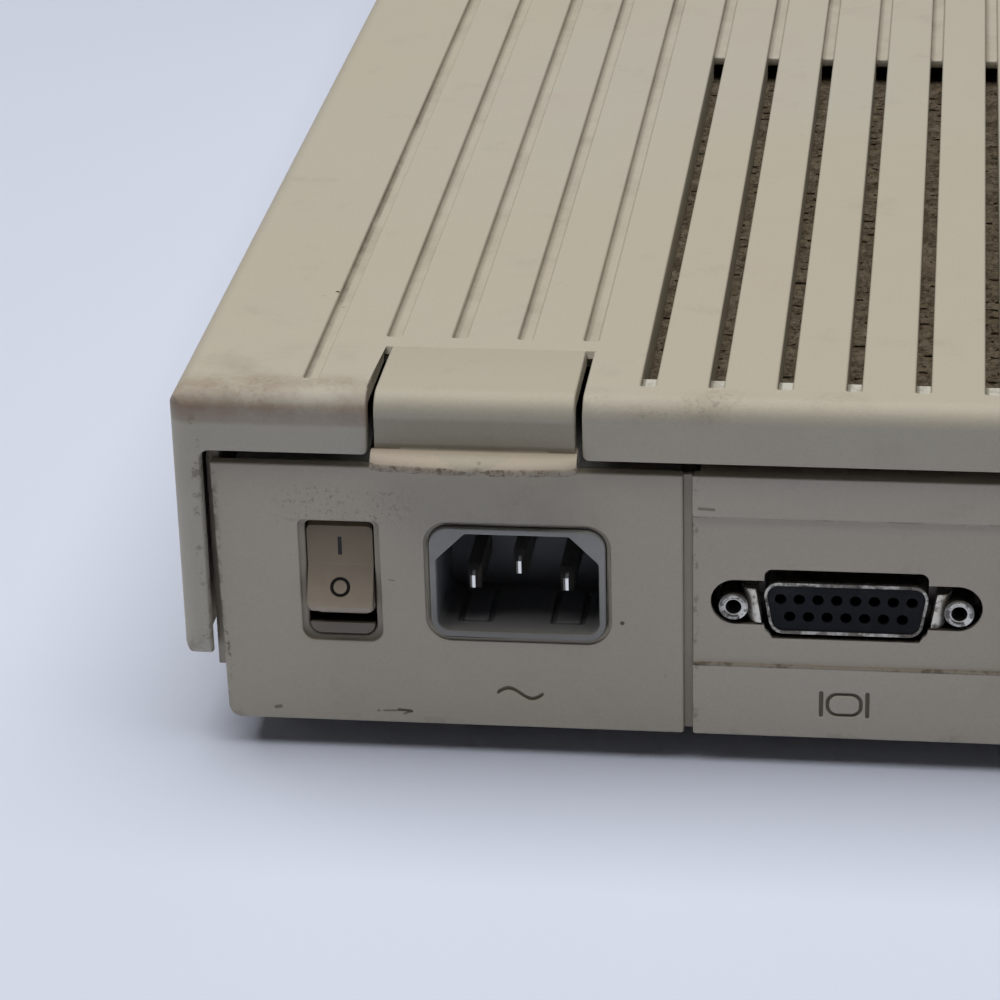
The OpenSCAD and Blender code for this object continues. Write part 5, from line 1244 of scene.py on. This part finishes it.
def lint_look():
    recipe = Recipe("lint")
    cloud = recipe.noise(240, 6, 0.75)
    fine = recipe.noise(1400, 5, 0.8)
    colour = recipe.coats(
        (0.300, 0.250, 0.180), (cloud.above(0.36, 0.62), (0.140, 0.108, 0.072)),
        (fine.above(0.52, 0.62) * 0.5, (0.38, 0.33, 0.25)),
        (fine.below(0.40, 0.46) * 0.8, (0.035, 0.026, 0.016)))
    return recipe.surface(colour, 0.95, (fine, 0.8, 0.0004), Specular_IOR_Level=0.1)


ledge_plastic = aged_plastic("ledge_plastic", (0.460, 0.385, 0.308), ledge_masks, 0.5, 0.0)
build_ledge("rear_latch_left")
build_ledge("rear_latch_right")
build_vent_floors()
build_lint()
print("lid parts:", len(pieces["shield_lint"].data.polygons), "faces of lint")

# %% [markdown]
# With the lid up the logic board shows. Its packed chips are plain blocks, so they get legs along
# their sides, and the empty green between them gets rows of chip resistors and capacitors, laid
# out by a seeded random walk that keeps clear of every part already there.

# %% Legs and small parts on the logic board
solder = tarnished("solder_grey", (0.62, 0.62, 0.60), (0.35, 0.34, 0.32), 0.34, 0.25, 700)
resistor_body = plain("resistor_body", (0.03, 0.03, 0.035), 0.4, 0.2)
capacitor_body = plain("capacitor_body", (0.42, 0.30, 0.17), 0.5, 0.2)
board_across, board_inward, (_, BOARD_TOP) = box_on_case("logic_board")
GRID, CLEAR = 2.5, 0.8
CAP, OVERLAP = 0.38, 0.02
SOCKET_PITCH, EDGE_PITCH = 1.9, 2.54


def add_legs(shape, box, pitch, width, reach, shoulder, ways=("front_rear", "left_right")):
    """Gull-wing legs along a chip: out from its side, down, and flat on the board."""
    across, inward, (foot, top) = box
    height = foot + (top - foot) * shoulder
    sole = BOARD_TOP + 0.12
    path = [(0, height), (reach * 0.35, height), (reach * 0.55, sole), (reach, sole)]
    for way in ways:
        (start, end), edges = (across, inward) if way == "front_rear" else (inward, across)
        half = (ACROSS if way == "front_rear" else INWARD) * (width * MM / 2)
        count = int((end - start - 1.2) / pitch)
        first = (start + end) / 2 - (count - 1) / 2 * pitch
        for edge, outward in zip(edges, (-1, 1)):
            for i in range(count):
                along = first + i * pitch
                places = [(along, edge + outward * out) for out, _ in path]
                if way == "left_right":
                    places = [place[::-1] for place in places]
                middles = [at(*place, up) for place, (_, up) in zip(places, path)]
                add_loft(shape, [(point - half, point + half) for point in middles],
                         closed=False, capped=False)


def build_legs():
    shape = bmesh.new()
    for box in loose_boxes("controller_chips"):
        add_legs(shape, box, 1.0, 0.42, 1.7, 0.45)
    for box in loose_boxes("memory_chips"):
        add_legs(shape, box, 1.27, 0.5, 0.9, 0.5, ["front_rear"])
    for box in loose_boxes("processor") + loose_boxes("rom_chips"):
        add_legs(shape, [box[0], box[1], (BOARD_TOP, BOARD_TOP + 1.6)], 1.27, 0.5, 0.7, 0.6)
    bmesh.ops.solidify(shape, geom=shape.faces[:], thickness=0.00013)
    finish_piece(shape, "chip_legs", "base", solder, smooth=False)


def board_obstacles():
    """The footprint of every part that stands on the board, with some room round it."""
    room = 2.6
    return [(across[0] - room, across[1] + room, inward[0] - room, inward[1] + room)
            for node in nodes if node != "logic_board" for across, inward, up in loose_boxes(node)
            if up[0] < BOARD_TOP + 4 and up[1] > BOARD_TOP + 0.1 and across[1] - across[0] < 150]


def add_small_part(body, ends, spans, length, rise):
    """A block on the board, with a soldered cap over both ends of its longer axis."""
    add_box(body, *spans, (BOARD_TOP, BOARD_TOP + rise))
    start, end = spans[length]
    for cap in ((start - OVERLAP, start + CAP), (end - CAP, end + OVERLAP)):
        sides = [(near - OVERLAP, far + OVERLAP) for near, far in spans]
        sides[length] = cap
        add_box(ends, *sides, (BOARD_TOP, BOARD_TOP + rise + 0.03))


def scatter_parts():
    """Short rows of small parts on a grid, wherever the board is free."""
    chance = Random(11)
    taken = board_obstacles()
    ends, black, tan = bmesh.new(), bmesh.new(), bmesh.new()
    low, high = zip(*((start + 4, end - 4) for start, end in (board_across, board_inward)))
    placed = 0
    for _ in range(900):
        a, b = (start + chance.randrange(int((end - start) / GRID)) * GRID
                for start, end in zip(low, high))
        turned, count = chance.random() < 0.5, chance.randint(2, 6)
        size = (2.0, 1.25) if chance.random() < 0.7 else (3.2, 1.6)
        step = size[1] + 1.25
        span = (size[0], step * count) if turned else (step * count, size[0])
        spot = (a - CLEAR, a + span[0] + CLEAR, b - CLEAR, b + span[1] + CLEAR)
        if spot[1] > high[0] or spot[3] > high[1] or any(
                spot[0] < t[1] and spot[1] > t[0] and spot[2] < t[3] and spot[3] > t[2] for t in taken):
            continue
        taken.append(spot)
        body, rise = (black, 0.55) if chance.random() < 0.55 else (tan, 0.95)
        for i in range(count):
            x, y = (a, b + i * step) if turned else (a + i * step, b)
            wide, deep = size if turned else (size[1], size[0])
            add_small_part(body, ends, [(x, x + wide), (y, y + deep)], 0 if turned else 1, rise)
            placed += 1
    finish_piece(ends, "part_ends", "base", solder, smooth=False)
    finish_piece(black, "chip_resistors", "base", resistor_body, smooth=False)
    finish_piece(tan, "chip_capacitors", "base", capacitor_body, smooth=False)
    return placed


def build_sockets():
    """The contacts down both sides of the long sockets, and a latch at each end of them."""
    shape, metal = bmesh.new(), bmesh.new()
    for across, inward, up in loose_boxes("memory_sockets") + loose_boxes("expansion_slot"):
        middle = centre(inward)
        half = (inward[1] - inward[0]) / 2
        for i in range(int((across[1] - across[0] - 8) / SOCKET_PITCH)):
            a = across[0] + 4 + i * SOCKET_PITCH
            for side in (-1, 1):
                b = middle + side * (half - 1.0)
                add_box(metal, (a, a + 0.6), (b - 0.28, b + 0.28), (up[1] - 0.6, up[1] + 0.12))
        for a in (across[0] + 0.9, across[1] - 2.1):
            add_box(shape, (a, a + 1.2), (middle - half - 0.5, middle + half + 0.5),
                    (up[0] + 1.0, up[1] + 2.6))
    finish_piece(metal, "socket_contacts", "base", pin_gold, smooth=False)
    finish_piece(shape, "socket_latches", "base", looks["cream_plastic"], 0.15)


def build_module_chips():
    """Black chips over the shoulders of each memory module, and its gilded edge."""
    shape, gold = bmesh.new(), bmesh.new()
    for across, inward, up in loose_boxes("memory_modules"):
        pitch = (across[1] - across[0] - 5) / 8
        thin = inward[0] + 1.3
        for i in range(8):
            a = across[0] + 3 + i * pitch
            add_box(shape, (a - 0.05, a + 0.75 * pitch + 0.05), (thin + 0.35, inward[1] + 0.06),
                    (up[0] + 5.45, up[1] - 1.95))
        for i in range(int((across[1] - across[0] - 6) / EDGE_PITCH)):
            a = across[0] + 3 + i * EDGE_PITCH
            add_box(gold, (a, a + 1.7), (thin - 0.1, thin + 0.04), (up[0] + 4.1, up[0] + 5.3))
    finish_piece(gold, "module_edge_contacts", "base", pin_gold, smooth=False)
    finish_piece(shape, "module_chips", "base", looks["chip_black"], 0.12)


def build_can_tops():
    """The bare, scored tops of the board's small round capacitors, and their black stripes."""
    tops, bands = bmesh.new(), bmesh.new()
    for across, inward, up in loose_boxes("board_capacitors"):
        radius = (across[1] - across[0]) / 2
        place = at(centre(across), centre(inward), up[1])
        add_lathe(tops, [(0, 0.05), (radius - 0.6, 0.05), (radius - 0.45, 0.16), (radius - 0.1, 0.1),
                         (radius - 0.1, 0)], place, UP, 20)
        for turn in range(-2, 3):
            spot = round_from(place, radians(turn * 12 + 180), radius, INWARD)
            add_rod(bands, spot - UP * (up[1] - up[0] - 0.9) * MM, spot - UP * 0.4 * MM, 0.2)
    finish_piece(bands, "capacitor_stripes", "base", looks["black_plastic"], smooth=False)
    finish_piece(tops, "capacitor_tops", "base", looks["aluminium_cans"])


build_legs()
print("logic board:", scatter_parts(), "small parts")
build_sockets()
build_module_chips()
build_can_tops()

# %% [markdown]
# Screws hold the board, the supply's cover, both drives and the fan. A screw is a lathed pan head
# with two black rods laid on it as the painted shade of its cross recess. The fan's hub wears a foil
# disc, and the hard disk's cover has pressed beads and a breather whose hole is a black disc of painted
# shade.

# %% Screws and pressed marks
screw_zinc = tarnished("screw_zinc", (0.66, 0.63, 0.55), (0.30, 0.26, 0.18), 0.3, 0.4, 600)
hub_foil = tarnished("hub_foil", (0.70, 0.70, 0.70), (0.40, 0.39, 0.37), 0.34, 0.3, 150)
FAN_ACROSS, FAN_UP, FAN_SCREW = 143, 24, 16
DISK_HUB, BREATHER = (250, 292), (284, 356)


def top_of(node):
    return box_on_case(node)[2][1]


def add_screw(heads, recesses, place, axis, radius=2.6):
    """A pan head that stands on a place and looks along an axis."""
    height = radius * 0.42
    add_lathe(heads, [(0, height), (radius * 0.55, height * 0.98), (radius * 0.86, height * 0.7),
                      (radius, height * 0.25), (radius, 0)], place, axis, 18)
    # The cross recess is two black rods on the head: painted shade standing for the recess.
    side = axis.orthogonal().normalized()
    for way in (side, axis.cross(side)):
        add_rod(recesses, place + axis * height * MM - way * radius * 0.5 * MM,
                place + axis * height * MM + way * radius * 0.5 * MM, 0.24)


def build_screws():
    """Screws that look up, in rows given by their height, and the four in the fan's frame."""
    heads, recesses = bmesh.new(), bmesh.new()
    grids = (((86.4, 190.2, 294.0), (32.1, 176.6), BOARD_TOP),
             ((12.4, 72.2), (9.0, 184.0), top_of("power_supply_cover")),
             ((203.4, 296.6), (236, 303, 371), top_of("hard_drive_casting") + 1.2),
             ((13.4, 106.6), (235.5, 371.5), top_of("floppy_shield")))
    places = [(u, v, w) for across, inward, w in grids for u in across for v in inward]
    for place in places:
        add_screw(heads, recesses, at(*place), UP)
    corners = [(a, b) for a in (-FAN_SCREW, FAN_SCREW) for b in (-FAN_SCREW, FAN_SCREW)]
    for a, b in corners:
        add_screw(heads, recesses, at(FAN_ACROSS + a, 205.6, FAN_UP + b), -INWARD, 2.3)
    finish_piece(recesses, "screw_recesses", "base", looks["black_plastic"])
    finish_piece(heads, "screw_heads", "base", screw_zinc)
    return len(places) + len(corners)


def build_fan_face():
    """A plain foil disc on the fan's hub."""
    shape = bmesh.new()
    add_lathe(shape, [(0, -0.02), (6.4, -0.02), (6.6, 0.1), (6.6, 0.3)],
              at(FAN_ACROSS, 206.6, FAN_UP), INWARD, 32)
    finish_piece(shape, "fan_hub_disc", "fan_rotor", hub_foil)


def build_cover_beads():
    """Two pressed ring beads and a breather on the hard disk's cover."""
    shape, hole = bmesh.new(), bmesh.new()
    top = top_of("hard_drive_cover")
    for radius in (17.0, 34.0):
        bead = [(radius - 1.1, -0.1), (radius - 0.5, 0.35), (radius + 0.5, 0.35), (radius + 1.1, -0.1)]
        add_lathe(shape, bead, at(*DISK_HUB, top), UP, 64)
    add_lathe(shape, [(1.2, -0.1), (1.2, 0.25), (3.4, 0.25), (3.6, -0.1)], at(*BREATHER, top), UP, 28)
    # The breather's hole is a flat black disc: painted shade standing for the hole.
    add_lathe(hole, [(0, 0.05), (1.25, 0.05)], at(*BREATHER, top), UP, 20)
    finish_piece(hole, "breather_hole", "base", looks["black_plastic"])
    finish_piece(shape, "drive_cover_beads", "base", looks["plated_steel"])


print("screws:", build_screws())
build_fan_face()
build_cover_beads()
